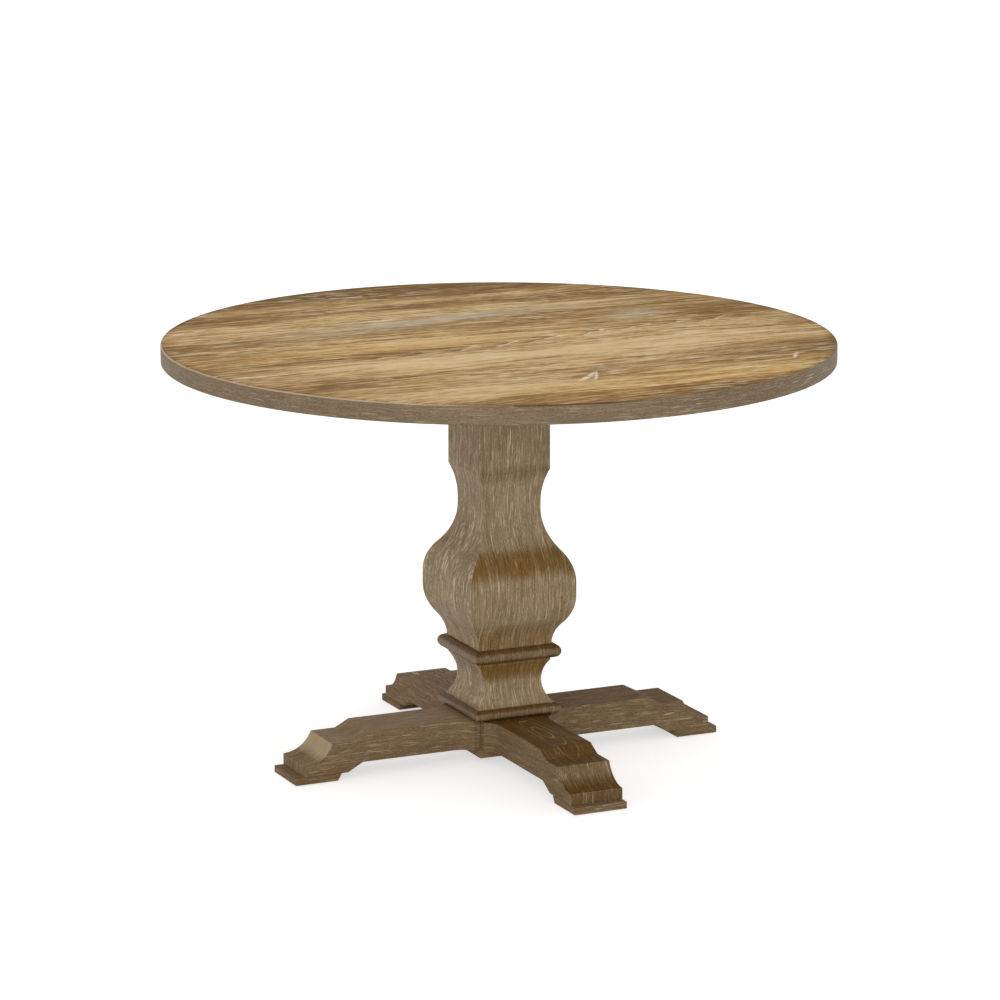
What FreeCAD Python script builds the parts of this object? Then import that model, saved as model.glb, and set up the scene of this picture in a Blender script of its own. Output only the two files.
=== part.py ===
"""Round pedestal table: a banded round top on a square baluster column with four sawn feet.

The origin is on the floor under the middle of the table, +Z is up, and the feet run along
X and Y.  All sizes are in millimetres.  The driving sizes are in the Sizes sheet, and the
Levels set works out the heights and radii that several pieces share.
"""
import FreeCAD
import Part
import Sketcher
import os

doc = FreeCAD.newDocument("round_pedestal_table")

# ---------------------------------------------------------------- driving sizes
SIZES = [
    # the whole table
    ("table_height", 762.0),
    ("top_diameter", 1200.15),
    # tabletop
    ("rim_height", 34.0),
    ("band_width", 12.0),
    ("edge_round", 3.0),
    ("veneer_thick", 0.8),
    ("backing_thick", 10.45),
    ("backing_setback", 80.0),
    # mounting plate under the top
    ("plate_width", 320.0),
    ("plate_thick", 25.0),
    ("plate_chamfer", 6.0),
    ("plate_screw_inset", 30.0),
    ("plate_screw_length", 50.0),
    ("plate_screw_diameter", 5.0),
    ("plate_screw_head", 10.0),
    # column, bottom to top: tail, bulb, shoulder, neck, flare and square head
    ("column_width", 140.4),
    ("tail_width", 143.4),
    ("tail_rise", 91.4),
    ("bulb_width", 209.4),
    ("bulb_flat", 25.0),
    ("bulb_round_low", 83.0),
    ("bulb_round_high", 88.0),
    ("shoulder_rise", 130.0),
    ("neck_width", 115.2),
    ("neck_flat", 12.0),
    ("neck_flare", 61.0),
    # beads round the column
    ("upper_bead_height", 26.0),
    ("upper_bead_depth", 13.0),
    ("lower_bead_height", 20.6),
    ("lower_bead_depth", 10.3),
    # waisted block under the column
    ("waist_height", 83.0),
    ("waist_width", 140.0),
    ("waist_depth", 12.4),
    ("waist_fillet", 5.0),
    ("waist_foot_overhang", 6.2),
    # hub and legs
    ("hub_width", 136.0),
    ("hub_clear", 14.0),
    ("leg_top", 84.0),
    ("foot_gap", 520.7),
    ("foot_width", 101.0),
    ("leg_arch", 29.5),
    ("flare_start", 44.0),
    ("flare_length", 30.0),
    ("toe_height", 34.0),
    ("shelf_height", 69.9),
    ("toe_setback", 17.2),
    ("cove_end", 70.4),
    ("shelf_end", 116.2),
    ("rise_end", 143.5),
    ("heel_end", 100.5),
    ("arch_start", 129.5),
    # foot pads and glides
    ("pad_top", 13.8),
    ("pad_length", 88.7),
    ("pad_bevel", 7.4),
    ("glide_diameter", 30.0),
    ("glide_stand", 1.0),
    ("glide_recess", 2.0),
    ("foot_screw_spread", 60.0),
    ("foot_screw_length", 30.0),
    ("foot_screw_diameter", 4.0),
    ("foot_screw_head", 8.0),
    ("foot_screw_recess", 1.5),
    # leg joints
    ("tenon_length", 30.0),
    ("tenon_width", 40.0),
    ("tenon_height", 32.0),
    ("tenon_rise", 12.0),
    ("pin_diameter", 8.0),
    ("pin_length", 64.0),
    # tie rod and its fixings
    ("rod_diameter", 12.0),
    ("rod_clearance", 1.0),
    ("rod_tail", 1.5),
    ("washer_diameter", 37.0),
    ("washer_thick", 3.0),
    ("nut_flats", 19.0),
    ("nut_height", 10.0),
    ("counterbore_diameter", 42.0),
    ("hub_counterbore", 20.0),
    # dowels between the stacked blocks
    ("dowel_diameter", 10.0),
    ("dowel_length", 40.0),
    ("dowel_offset", 36.0),
]

sheet = doc.addObject("Spreadsheet::Sheet", "Sizes")
for row, (alias, value) in enumerate(SIZES, start=1):
    sheet.set(f"A{row}", alias.replace("_", " "))
    sheet.set(f"B{row}", str(value))
    sheet.setAlias(f"B{row}", alias)
doc.recompute()

# ---------------------------------------------------------------- shared levels
LEVELS = [
    # top, from the table height down
    ("top_radius", "Sizes.top_diameter / 2"),
    ("core_radius", "Sizes.top_diameter / 2 - Sizes.band_width"),
    ("rim_bottom", "Sizes.table_height - Sizes.rim_height"),
    ("core_bottom", "Levels.rim_bottom + Sizes.veneer_thick"),
    ("core_thick", "Sizes.rim_height - 2 * Sizes.veneer_thick"),
    ("face_bottom", "Sizes.table_height - Sizes.veneer_thick"),
    ("backing_radius", "Levels.top_radius - Sizes.backing_setback"),
    ("backing_bottom", "Levels.rim_bottom - Sizes.backing_thick"),
    ("plate_bottom", "Levels.backing_bottom - Sizes.plate_thick"),
    ("plate_half", "Sizes.plate_width / 2"),
    ("plate_screw_place", "Levels.plate_half - Sizes.plate_screw_inset"),
    # waisted block, from the legs up
    ("waist_half", "Sizes.waist_width / 2"),
    ("hub_half", "Sizes.hub_width / 2"),
    ("waist_foot_half", "Levels.hub_half + Sizes.waist_foot_overhang"),
    ("waist_inner", "Levels.waist_half - Sizes.waist_depth"),
    ("waist_foot_top", "Sizes.leg_top + Sizes.lower_bead_height"),
    ("waist_low", "Levels.waist_foot_top + Sizes.waist_fillet"),
    ("waist_top", "Levels.waist_foot_top + Sizes.waist_height"),
    ("waist_high", "Levels.waist_top - Sizes.waist_fillet"),
    ("scotia_half", "(Levels.waist_high - Levels.waist_low) / 2"),
    ("scotia_radius",
     "(Sizes.waist_depth ^ 2 + Levels.scotia_half ^ 2) / (2 * Sizes.waist_depth)"),
    ("scotia_centre", "Levels.waist_inner + Levels.scotia_radius"),
    # column: an ogee of rise and run has radii that add up to (rise^2 + run^2) / (2 run)
    ("column_half", "Sizes.column_width / 2"),
    ("tail_half", "Sizes.tail_width / 2"),
    ("bulb_half", "Sizes.bulb_width / 2"),
    ("neck_half", "Sizes.neck_width / 2"),
    ("tail_start", "Levels.waist_top + Sizes.upper_bead_height"),
    ("bulb_start", "Levels.tail_start + Sizes.tail_rise"),
    ("bulb_end", "Levels.bulb_start + Sizes.bulb_flat"),
    ("neck_start", "Levels.bulb_end + Sizes.shoulder_rise"),
    ("neck_end", "Levels.neck_start + Sizes.neck_flat"),
    ("head_start", "Levels.neck_end + Sizes.neck_flare"),
    ("tail_run", "Levels.bulb_half - Levels.tail_half"),
    ("tail_radii", "(Sizes.tail_rise ^ 2 + Levels.tail_run ^ 2) / (2 * Levels.tail_run)"),
    ("tail_radius", "Levels.tail_radii - Sizes.bulb_round_low"),
    ("tail_turn", "Levels.tail_start + Sizes.tail_rise * Levels.tail_radius / Levels.tail_radii"),
    ("tail_turn_half",
     "Levels.tail_half + Levels.tail_run * Levels.tail_radius / Levels.tail_radii"),
    ("shoulder_run", "Levels.bulb_half - Levels.neck_half"),
    ("shoulder_radii",
     "(Sizes.shoulder_rise ^ 2 + Levels.shoulder_run ^ 2) / (2 * Levels.shoulder_run)"),
    ("shoulder_radius", "Levels.shoulder_radii - Sizes.bulb_round_high"),
    ("shoulder_turn",
     "Levels.neck_start - Sizes.shoulder_rise * Levels.shoulder_radius / Levels.shoulder_radii"),
    ("shoulder_turn_half",
     "Levels.neck_half + Levels.shoulder_run * Levels.shoulder_radius / Levels.shoulder_radii"),
    # beads: a bow of this depth and height has this radius
    ("upper_bead_radius",
     "(Sizes.upper_bead_depth ^ 2 + (Sizes.upper_bead_height / 2) ^ 2)"
     " / (2 * Sizes.upper_bead_depth)"),
    ("lower_bead_radius",
     "(Sizes.lower_bead_depth ^ 2 + (Sizes.lower_bead_height / 2) ^ 2)"
     " / (2 * Sizes.lower_bead_depth)"),
    ("upper_bead_centre",
     "Levels.tail_half + Sizes.upper_bead_depth - Levels.upper_bead_radius"),
    ("lower_bead_centre",
     "Levels.waist_foot_half + Sizes.lower_bead_depth - Levels.lower_bead_radius"),
    # legs: neighbouring feet are foot_gap apart, corner to corner
    ("hub_height", "Sizes.leg_top - Sizes.hub_clear"),
    ("leg_half", "Sizes.foot_width / 2"),
    ("reach", "Sizes.foot_gap / sqrt(2) + Levels.leg_half"),
    ("toe", "Levels.reach - Sizes.toe_setback"),
    ("cove_in", "Levels.reach - Sizes.cove_end"),
    ("shelf_in", "Levels.reach - Sizes.shelf_end"),
    ("rise_in", "Levels.reach - Sizes.rise_end"),
    ("heel_in", "Levels.reach - Sizes.heel_end"),
    ("arch_in", "Levels.reach - Sizes.arch_start"),
    ("side_in", "Levels.hub_half + Sizes.flare_start"),
    ("side_block", "Levels.side_in - Sizes.flare_length"),
    ("tenon_in", "Levels.hub_half - Sizes.tenon_length"),
    ("tenon_bottom", "Sizes.leg_arch + Sizes.tenon_rise"),
    ("pin_place", "Levels.hub_half - Sizes.tenon_length / 2"),
    # pads and their fixings
    ("pad_in_top", "Levels.reach - Sizes.pad_length"),
    ("pad_in_bottom", "Levels.pad_in_top + Sizes.pad_bevel"),
    ("pad_middle", "(Levels.reach + Levels.pad_in_bottom) / 2"),
    ("foot_screw_base", "Sizes.glide_stand + Sizes.foot_screw_recess"),
    ("foot_screw_side", "Sizes.foot_screw_spread / 2"),
    # tie rod, from its lower washer seat to its upper one
    ("lower_seat", "Sizes.hub_clear + Sizes.hub_counterbore"),
    ("rod_bottom",
     "Levels.lower_seat - Sizes.washer_thick - Sizes.nut_height - Sizes.rod_tail"),
    ("rod_top", "Levels.backing_bottom - Sizes.rod_tail"),
    ("upper_seat", "Levels.rod_top - Sizes.rod_tail - Sizes.nut_height - Sizes.washer_thick"),
    ("rod_bore", "Sizes.rod_diameter / 2 + Sizes.rod_clearance"),
]

levels = doc.addObject("App::VarSet", "Levels")
for name, expression in LEVELS:
    levels.addProperty("App::PropertyFloat", name)
    levels.setExpression(name, expression)
doc.recompute()


# ---------------------------------------------------------------- drawing helpers
SIDES = ("right", "back", "left", "front")
HOLLOW = 1
FULL = -1
ACROSS = "DistanceX"
ALONG = "DistanceY"
CENTRE = 3
NODES = []


def number(term):
    """The present value of a term such as Levels.toe, -Sizes.leg_top or a plain 0."""
    if term == "0":
        return 0.0
    sign = -1.0 if term.startswith("-") else 1.0
    owner, name = term.lstrip("-").split(".")
    source = sheet if owner == "Sizes" else levels
    return sign * float(getattr(source, name))


def minus(term):
    """The same term on the other side of the middle."""
    return term if term == "0" else "-" + term


def arc_about(start, end, bow, axis, place_on_axis):
    """The arc from start to end whose centre has this place across or along the outline."""
    middle = (start + end) / 2
    left = FreeCAD.Vector(start.y - end.y, end.x - start.x, 0)
    if axis == ACROSS:
        centre = middle + left * ((place_on_axis - middle.x) / left.x)
    else:
        centre = middle + left * ((place_on_axis - middle.y) / left.y)
    radius = (start - centre).Length
    return Part.Arc(start, centre + left.normalize() * radius * bow, end)


def bind_point(sketch, axis, edge, point, term):
    """Bind how far a point of an edge lies from the origin, across or along."""
    rule = sketch.addConstraint(Sketcher.Constraint(axis, -1, 1, edge, point, number(term)))
    if term != "0":
        sketch.setExpression(f"Constraints[{rule}]", term)


def outline_body(label, role, corners):
    """A body with one closed sketch on the origin plane of this role.

    Each corner is (across, along).  An arc that leaves it adds HOLLOW or FULL, and where its
    centre lies: ACROSS or ALONG, and a term.  Outlines run anticlockwise, and every corner and
    centre is bound to its size.
    """
    body = doc.addObject("PartDesign::Body", label)
    plane = next(item for item in body.Origin.OriginFeatures if item.Role == role)
    sketch = body.newObject("Sketcher::SketchObject", label + "_outline")
    sketch.AttachmentSupport = [(plane, "")]
    sketch.MapMode = "FlatFace"
    places = [FreeCAD.Vector(number(corner[0]), number(corner[1]), 0) for corner in corners]
    ends = []
    for index, corner in enumerate(corners):
        start = places[index]
        end = places[(index + 1) % len(corners)]
        if len(corner) == 2:
            shape = Part.LineSegment(start, end)
        else:
            shape = arc_about(start, end, corner[2], corner[3], number(corner[4]))
        edge = sketch.addGeometry(shape, False)
        first, last = sketch.getPoint(edge, 1), sketch.getPoint(edge, 2)
        forward = (first - start).Length < (last - start).Length
        ends.append((edge, 1, 2) if forward else (edge, 2, 1))
    for index, corner in enumerate(corners):
        edge, first, last = ends[index]
        after, after_first, _ = ends[(index + 1) % len(corners)]
        sketch.addConstraint(Sketcher.Constraint("Coincident", edge, last, after, after_first))
        bind_point(sketch, ACROSS, edge, first, corner[0])
        bind_point(sketch, ALONG, edge, first, corner[1])
        if len(corner) > 2:
            bind_point(sketch, corner[3], edge, CENTRE, corner[4])
    return body, sketch


def pad(body, sketch, length, symmetric):
    """Extrude a sketch by this length, to both sides of its plane where symmetric."""
    feature = body.newObject("PartDesign::Pad", sketch.Name + "_pad")
    feature.Profile = sketch
    feature.setExpression("Length", length)
    feature.SideType = "Symmetric" if symmetric else "One side"
    return feature


def crossed(label, side, side_length, plan_role, plan, plan_length, plan_symmetric):
    """The solid that has one outline from the front and another across it."""
    front, front_sketch = outline_body(label + "_front", "XZ_Plane", side)
    pad(front, front_sketch, side_length, True)
    across, across_sketch = outline_body(label + "_across", plan_role, plan)
    pad(across, across_sketch, plan_length, plan_symmetric)
    both = doc.addObject("Part::Common", label)
    both.Base = front
    both.Tool = across
    return both


def place(piece, across="0", along="0", up="0"):
    """Bind where a piece stands."""
    for axis, term in (("x", across), ("y", along), ("z", up)):
        if term != "0":
            piece.setExpression(f".Placement.Base.{axis}", term)
    return piece


def cylinder(label, radius, height, across="0", along="0", up="0"):
    """An upright cylinder."""
    piece = doc.addObject("Part::Cylinder", label)
    piece.setExpression("Radius", radius)
    piece.setExpression("Height", height)
    return place(piece, across, along, up)


def box(label, length, width, height, across, along, up):
    """A box from its lowest corner."""
    piece = doc.addObject("Part::Box", label)
    piece.setExpression("Length", length)
    piece.setExpression("Width", width)
    piece.setExpression("Height", height)
    return place(piece, across, along, up)


def fused(label, pieces):
    """One solid from several that meet."""
    piece = doc.addObject("Part::MultiFuse", label)
    piece.Shapes = pieces
    return piece


def grouped(label, pieces):
    """Separate identical solids that share one node."""
    piece = doc.addObject("Part::Compound", label)
    piece.Links = pieces
    return piece


def cut(label, base, tools):
    """The base with every tool taken out of it."""
    piece = doc.addObject("Part::Cut", label)
    piece.Base = base
    piece.Tool = tools[0] if len(tools) == 1 else fused(label + "_tools", tools)
    return piece


def countersunk_screw(label, head, shank, length, across, along, up):
    """A wood screw driven upwards, with its flat head at the bottom."""
    cone = doc.addObject("Part::Cone", label + "_head")
    cone.setExpression("Radius1", f"{head} / 2")
    cone.setExpression("Radius2", f"{shank} / 2")
    cone.setExpression("Height", f"({head} - {shank}) / 2")
    place(cone, across, along, up)
    rod = cylinder(label + "_shank", f"{shank} / 2", length, across, along, up)
    return fused(label, [cone, rod])


def turned(label, piece, quarters):
    """A piece that is modelled on the +X side, turned about the table's upright axis."""
    copy = grouped(label, [piece])
    copy.Placement = FreeCAD.Placement(
        FreeCAD.Vector(0, 0, 0), FreeCAD.Rotation(FreeCAD.Vector(0, 0, 1), 90 * quarters))
    return copy


def on_each_side(label, piece):
    """The four turned copies of a piece: right, back, left and front."""
    return [turned(f"{label}_{side}", piece, quarters) for quarters, side in enumerate(SIDES)]


def node(piece):
    """Keep a finished piece for the parts folder."""
    NODES.append(piece)
    return piece


# ---------------------------------------------------------------- fasteners
CORNERS = [(x, y) for x in (-1, 0, 1) for y in (-1, 0, 1) if (x, y) != (0, 0)]


def signed(side, term):
    """A term, its opposite or 0, for a place left, right or in the middle."""
    return {1: term, -1: minus(term), 0: "0"}[side]


plate_screws = node(grouped("plate_screws", [
    countersunk_screw(
        f"plate_screw_{index}", "Sizes.plate_screw_head", "Sizes.plate_screw_diameter",
        "Sizes.plate_screw_length", signed(x, "Levels.plate_screw_place"),
        signed(y, "Levels.plate_screw_place"), "Levels.plate_bottom")
    for index, (x, y) in enumerate(CORNERS, start=1)]))


def dowel_pair(label, joint):
    """Two dowels on a diagonal, half in the block above the joint and half below."""
    return node(grouped(label, [
        cylinder(f"{label}_{index}", "Sizes.dowel_diameter / 2", "Sizes.dowel_length",
                 signed(side, "Sizes.dowel_offset"), signed(side, "Sizes.dowel_offset"),
                 f"{joint} - Sizes.dowel_length / 2")
        for index, side in enumerate((1, -1), start=1)]))


plate_dowels = dowel_pair("plate_dowels", "Levels.plate_bottom")
column_dowels = dowel_pair("column_dowels", "Levels.waist_top")
hub_dowels = dowel_pair("hub_dowels", "Sizes.leg_top")

node(cylinder("tie_rod", "Sizes.rod_diameter / 2", "Levels.rod_top - Levels.rod_bottom",
              up="Levels.rod_bottom"))
rod_bore = cylinder("rod_bore", "Levels.rod_bore", "Sizes.table_height")

WASHER_LEVELS = {"lower": "Levels.lower_seat - Sizes.washer_thick", "upper": "Levels.upper_seat"}
NUT_LEVELS = {"lower": "Levels.lower_seat - Sizes.washer_thick - Sizes.nut_height",
              "upper": "Levels.upper_seat + Sizes.washer_thick"}


def tie_washer(end):
    """A flat washer with a running hole for the rod."""
    disc = cylinder(f"{end}_washer_disc", "Sizes.washer_diameter / 2", "Sizes.washer_thick",
                    up=WASHER_LEVELS[end])
    return cut(f"{end}_washer", disc, [rod_bore])


def tie_nut(end):
    """A hexagon nut that fills up to the rod."""
    hexagon = doc.addObject("Part::Prism", f"{end}_nut_hexagon")
    hexagon.Polygon = 6
    hexagon.setExpression("Circumradius", "Sizes.nut_flats / sqrt(3)")
    hexagon.setExpression("Height", "Sizes.nut_height")
    place(hexagon, up=NUT_LEVELS[end])
    thread = cylinder(f"{end}_nut_thread", "Sizes.rod_diameter / 2", "Sizes.nut_height",
                      up=NUT_LEVELS[end])
    return cut(f"{end}_nut", hexagon, [thread])


node(grouped("tie_rod_washers", [tie_washer(end) for end in ("lower", "upper")]))
node(grouped("tie_rod_nuts", [tie_nut(end) for end in ("lower", "upper")]))


# ---------------------------------------------------------------- tabletop
def edge_band():
    """The solid lipping round the rim, with both outer edges rounded."""
    body = doc.addObject("PartDesign::Body", "edge_band")
    plane = next(item for item in body.Origin.OriginFeatures if item.Role == "XY_Plane")
    sketch = body.newObject("Sketcher::SketchObject", "edge_band_rings")
    sketch.AttachmentSupport = [(plane, "")]
    sketch.MapMode = "FlatFace"
    for term in ("Levels.top_radius", "Levels.core_radius"):
        ring = sketch.addGeometry(
            Part.Circle(FreeCAD.Vector(0, 0, 0), FreeCAD.Vector(0, 0, 1), number(term)), False)
        sketch.addConstraint(Sketcher.Constraint("Coincident", ring, 3, -1, 1))
        rule = sketch.addConstraint(Sketcher.Constraint("Radius", ring, number(term)))
        sketch.setExpression(f"Constraints[{rule}]", term)
    ring_pad = pad(body, sketch, "Sizes.rim_height", False)
    doc.recompute()
    rounded = body.newObject("PartDesign::Fillet", "edge_band_round")
    outer = [f"Edge{index}" for index, edge in enumerate(ring_pad.Shape.Edges, start=1)
             if hasattr(edge.Curve, "Radius")
             and abs(edge.Curve.Radius - number("Levels.top_radius")) < 0.01]
    rounded.Base = (ring_pad, outer)
    rounded.setExpression("Radius", "Sizes.edge_round")
    return place(body, up="Levels.rim_bottom")


node(edge_band())
face_veneer = cylinder("top_face_veneer", "Levels.core_radius", "Sizes.veneer_thick",
                       up="Levels.face_bottom")
node(face_veneer)
core_disc = cylinder("core_disc", "Levels.core_radius", "Levels.core_thick",
                     up="Levels.core_bottom")
node(cut("top_core", core_disc, [plate_screws]))
back_disc = cylinder("back_disc", "Levels.core_radius", "Sizes.veneer_thick",
                     up="Levels.rim_bottom")
node(cut("top_back_veneer", back_disc, [plate_screws]))
backing_disc = cylinder("backing_disc", "Levels.backing_radius", "Sizes.backing_thick",
                        up="Levels.backing_bottom")
node(cut("backing_board", backing_disc, [plate_screws]))


# ---------------------------------------------------------------- mounting plate
def mounting_plate():
    """The square plate that joins the column to the top, chamfered below."""
    corners = [("-Levels.plate_half", "-Levels.plate_half"),
               ("Levels.plate_half", "-Levels.plate_half"),
               ("Levels.plate_half", "Levels.plate_half"),
               ("-Levels.plate_half", "Levels.plate_half")]
    body, sketch = outline_body("plate_blank", "XY_Plane", corners)
    square = pad(body, sketch, "Sizes.plate_thick", False)
    doc.recompute()
    eased = body.newObject("PartDesign::Chamfer", "plate_lower_chamfer")
    low = [f"Edge{index}" for index, edge in enumerate(square.Shape.Edges, start=1)
           if edge.BoundBox.ZMax < 0.01]
    eased.Base = (square, low)
    eased.setExpression("Size", "Sizes.plate_chamfer")
    place(body, up="Levels.plate_bottom")
    pocket = cylinder("plate_counterbore", "Sizes.counterbore_diameter / 2", "Sizes.plate_thick",
                      up="Levels.upper_seat")
    return cut("mounting_plate", body, [pocket, rod_bore, plate_screws, plate_dowels])


node(mounting_plate())


# ---------------------------------------------------------------- column
def both_sides(right):
    """Close an outline that is drawn from bottom to top on its right-hand side only."""
    left = []
    for index in range(len(right) - 1, -1, -1):
        across, up = right[index][:2]
        bend = right[index - 1][2:] if index else ()
        if bend and bend[1] == ACROSS:
            bend = (bend[0], ACROSS, minus(bend[2]))
        left.append((minus(across), up) + bend)
    return right + left


COLUMN_SIDE = both_sides([
    ("Levels.tail_half", "Levels.waist_top"),
    ("Levels.tail_half", "Levels.tail_start", HOLLOW, ALONG, "Levels.tail_start"),
    ("Levels.tail_turn_half", "Levels.tail_turn", FULL, ALONG, "Levels.bulb_start"),
    ("Levels.bulb_half", "Levels.bulb_start"),
    ("Levels.bulb_half", "Levels.bulb_end", FULL, ALONG, "Levels.bulb_end"),
    ("Levels.shoulder_turn_half", "Levels.shoulder_turn", HOLLOW, ALONG, "Levels.neck_start"),
    ("Levels.neck_half", "Levels.neck_start"),
    ("Levels.neck_half", "Levels.neck_end", HOLLOW, ALONG, "Levels.neck_end"),
    ("Levels.column_half", "Levels.head_start"),
    ("Levels.column_half", "Levels.plate_bottom"),
])

column_blank = crossed("column_blank", COLUMN_SIDE, "2 * Sizes.bulb_width",
                       "YZ_Plane", COLUMN_SIDE, "2 * Sizes.bulb_width", True)
node(cut("column", column_blank, [rod_bore, plate_dowels, column_dowels]))

# ---------------------------------------------------------------- waisted block
WAIST_SIDE = both_sides([
    ("Levels.waist_foot_half", "Sizes.leg_top"),
    ("Levels.waist_foot_half", "Levels.waist_foot_top"),
    ("Levels.waist_half", "Levels.waist_foot_top"),
    ("Levels.waist_half", "Levels.waist_low", HOLLOW, ACROSS, "Levels.scotia_centre"),
    ("Levels.waist_half", "Levels.waist_high"),
    ("Levels.waist_half", "Levels.waist_top"),
])

waist_blank = crossed("waist_blank", WAIST_SIDE, "4 * Levels.waist_foot_half",
                      "YZ_Plane", WAIST_SIDE, "4 * Levels.waist_foot_half", True)
node(cut("waist_block", waist_blank, [rod_bore, column_dowels, hub_dowels]))

# ---------------------------------------------------------------- beads
MITRE_PLAN = [("0", "0"), ("Levels.reach", "-Levels.reach"), ("Levels.reach", "Levels.reach")]


def bead_strip(label, back, bottom, top, centre):
    """A moulding with a bowed face, mitred at 45 degrees at both ends."""
    section = [(back, bottom, FULL, ACROSS, centre), (back, top)]
    return crossed(label, section, "2 * Levels.reach", "XY_Plane", MITRE_PLAN,
                   "Sizes.table_height", False)


upper_strip = bead_strip("upper_bead_strip", "Levels.tail_half", "Levels.waist_top",
                         "Levels.tail_start", "Levels.upper_bead_centre")
lower_strip = bead_strip("lower_bead_strip", "Levels.waist_foot_half", "Sizes.leg_top",
                         "Levels.waist_foot_top", "Levels.lower_bead_centre")
for name, strip in (("upper_bead", upper_strip), ("lower_bead", lower_strip)):
    for side_strip in on_each_side(name, strip):
        node(side_strip)

# ---------------------------------------------------------------- joints of the legs
tenon = box("tenon", "Sizes.tenon_length", "Sizes.tenon_width", "Sizes.tenon_height",
            "Levels.tenon_in", "-Sizes.tenon_width / 2", "Levels.tenon_bottom")
pin = cylinder("tenon_pin", "Sizes.pin_diameter / 2", "Sizes.pin_length",
               across="Levels.pin_place", up="Sizes.hub_clear")
tenon_pins = node(grouped("tenon_pins", on_each_side("tenon_pin", pin)))

foot_screw_pair = grouped("foot_screw_pair", [
    countersunk_screw(f"foot_screw_{index}", "Sizes.foot_screw_head",
                      "Sizes.foot_screw_diameter", "Sizes.foot_screw_length",
                      "Levels.pad_middle", across, "Levels.foot_screw_base")
    for index, across in enumerate(("Levels.foot_screw_side", "-Levels.foot_screw_side"), 1)])
node(grouped("foot_screws", on_each_side("foot_screw_pair", foot_screw_pair)))

# ---------------------------------------------------------------- hub
hub_blank = box("hub_blank", "Sizes.hub_width", "Sizes.hub_width", "Levels.hub_height",
                "-Levels.hub_half", "-Levels.hub_half", "Sizes.hub_clear")
hub_pocket = cylinder("hub_counterbore", "Sizes.counterbore_diameter / 2", "Levels.lower_seat")
mortises = on_each_side("mortise", tenon)
node(cut("hub_block", hub_blank, [rod_bore, hub_pocket, tenon_pins, hub_dowels] + mortises))

# ---------------------------------------------------------------- legs
LEG_SIDE = [
    ("Levels.hub_half", "Sizes.leg_arch"),
    ("Levels.arch_in", "Sizes.leg_arch"),
    ("Levels.heel_in", "Sizes.pad_top"),
    ("Levels.toe", "Sizes.pad_top"),
    ("Levels.toe", "Sizes.toe_height", HOLLOW, ACROSS, "Levels.toe"),
    ("Levels.cove_in", "Sizes.shelf_height"),
    ("Levels.shelf_in", "Sizes.shelf_height"),
    ("Levels.rise_in", "Sizes.leg_top"),
    ("Levels.hub_half", "Sizes.leg_top"),
]
LEG_PLAN = [
    ("Levels.hub_half", "-Levels.hub_half"),
    ("Levels.side_block", "-Levels.hub_half", HOLLOW, ACROSS, "Levels.side_in"),
    ("Levels.side_in", "-Levels.leg_half"),
    ("Levels.reach", "-Levels.leg_half"),
    ("Levels.reach", "Levels.leg_half"),
    ("Levels.side_in", "Levels.leg_half", HOLLOW, ACROSS, "Levels.side_in"),
    ("Levels.side_block", "Levels.hub_half"),
    ("Levels.hub_half", "Levels.hub_half"),
]

leg_blank = crossed("leg_blank", LEG_SIDE, "2 * Sizes.hub_width", "XY_Plane", LEG_PLAN,
                    "Sizes.table_height", False)
leg = cut("leg", fused("leg_and_tenon", [leg_blank, tenon]), [pin, foot_screw_pair])
for side_leg in on_each_side("leg", leg):
    node(side_leg)

# ---------------------------------------------------------------- foot pads and glides
PAD_SIDE = [
    ("Levels.pad_in_bottom", "Sizes.glide_stand"),
    ("Levels.reach", "Sizes.glide_stand"),
    ("Levels.reach", "Sizes.pad_top"),
    ("Levels.pad_in_top", "Sizes.pad_top"),
]

glide = cylinder("glide", "Sizes.glide_diameter / 2", "Sizes.glide_stand + Sizes.glide_recess",
                 across="Levels.pad_middle")
node(grouped("glides", on_each_side("glide", glide)))

pad_body, pad_sketch = outline_body("foot_pad_blank", "XZ_Plane", PAD_SIDE)
pad(pad_body, pad_sketch, "Sizes.foot_width", True)
screw_recess = grouped("foot_screw_recesses", [
    cylinder(f"foot_screw_recess_{index}", "Sizes.foot_screw_head / 2",
             "Levels.foot_screw_base", "Levels.pad_middle", across)
    for index, across in enumerate(("Levels.foot_screw_side", "-Levels.foot_screw_side"), 1)])
foot_pad = cut("foot_pad", pad_body, [foot_screw_pair, screw_recess, glide])
for side_pad in on_each_side("foot_pad", foot_pad):
    node(side_pad)

# ---------------------------------------------------------------- checks and export
doc.recompute()
for item in doc.Objects:
    if "Invalid" in item.State or "Error" in item.State:
        raise RuntimeError(f"{item.Label} did not build: {item.State}")
for piece in NODES:
    if piece.Shape.isNull() or not piece.Shape.isValid() or not piece.Shape.Solids:
        raise RuntimeError(f"{piece.Label} has no sound solid")

os.makedirs("parts", exist_ok=True)
for piece in NODES:
    piece.Shape.exportStep(f"parts/{piece.Label}.step")
    print(f"{piece.Label}: {len(piece.Shape.Solids)} solid(s), {piece.Shape.Volume / 1000:.1f} cm3")
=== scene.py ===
# %% [markdown]
# # A round pedestal table in limed oak
# The table is a banded round top on a square baluster column.  Under the column stands a
# waisted block, and four sawn feet run out from a hidden hub.  The construction is already
# settled in the loaded frame, in metres, with +Z up.  This lesson gives each visible piece of
# wood a clean mesh with eased edges, and every piece a finish.

# %% Load the frame
import math

import bpy
from mathutils import Matrix, Vector


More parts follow.
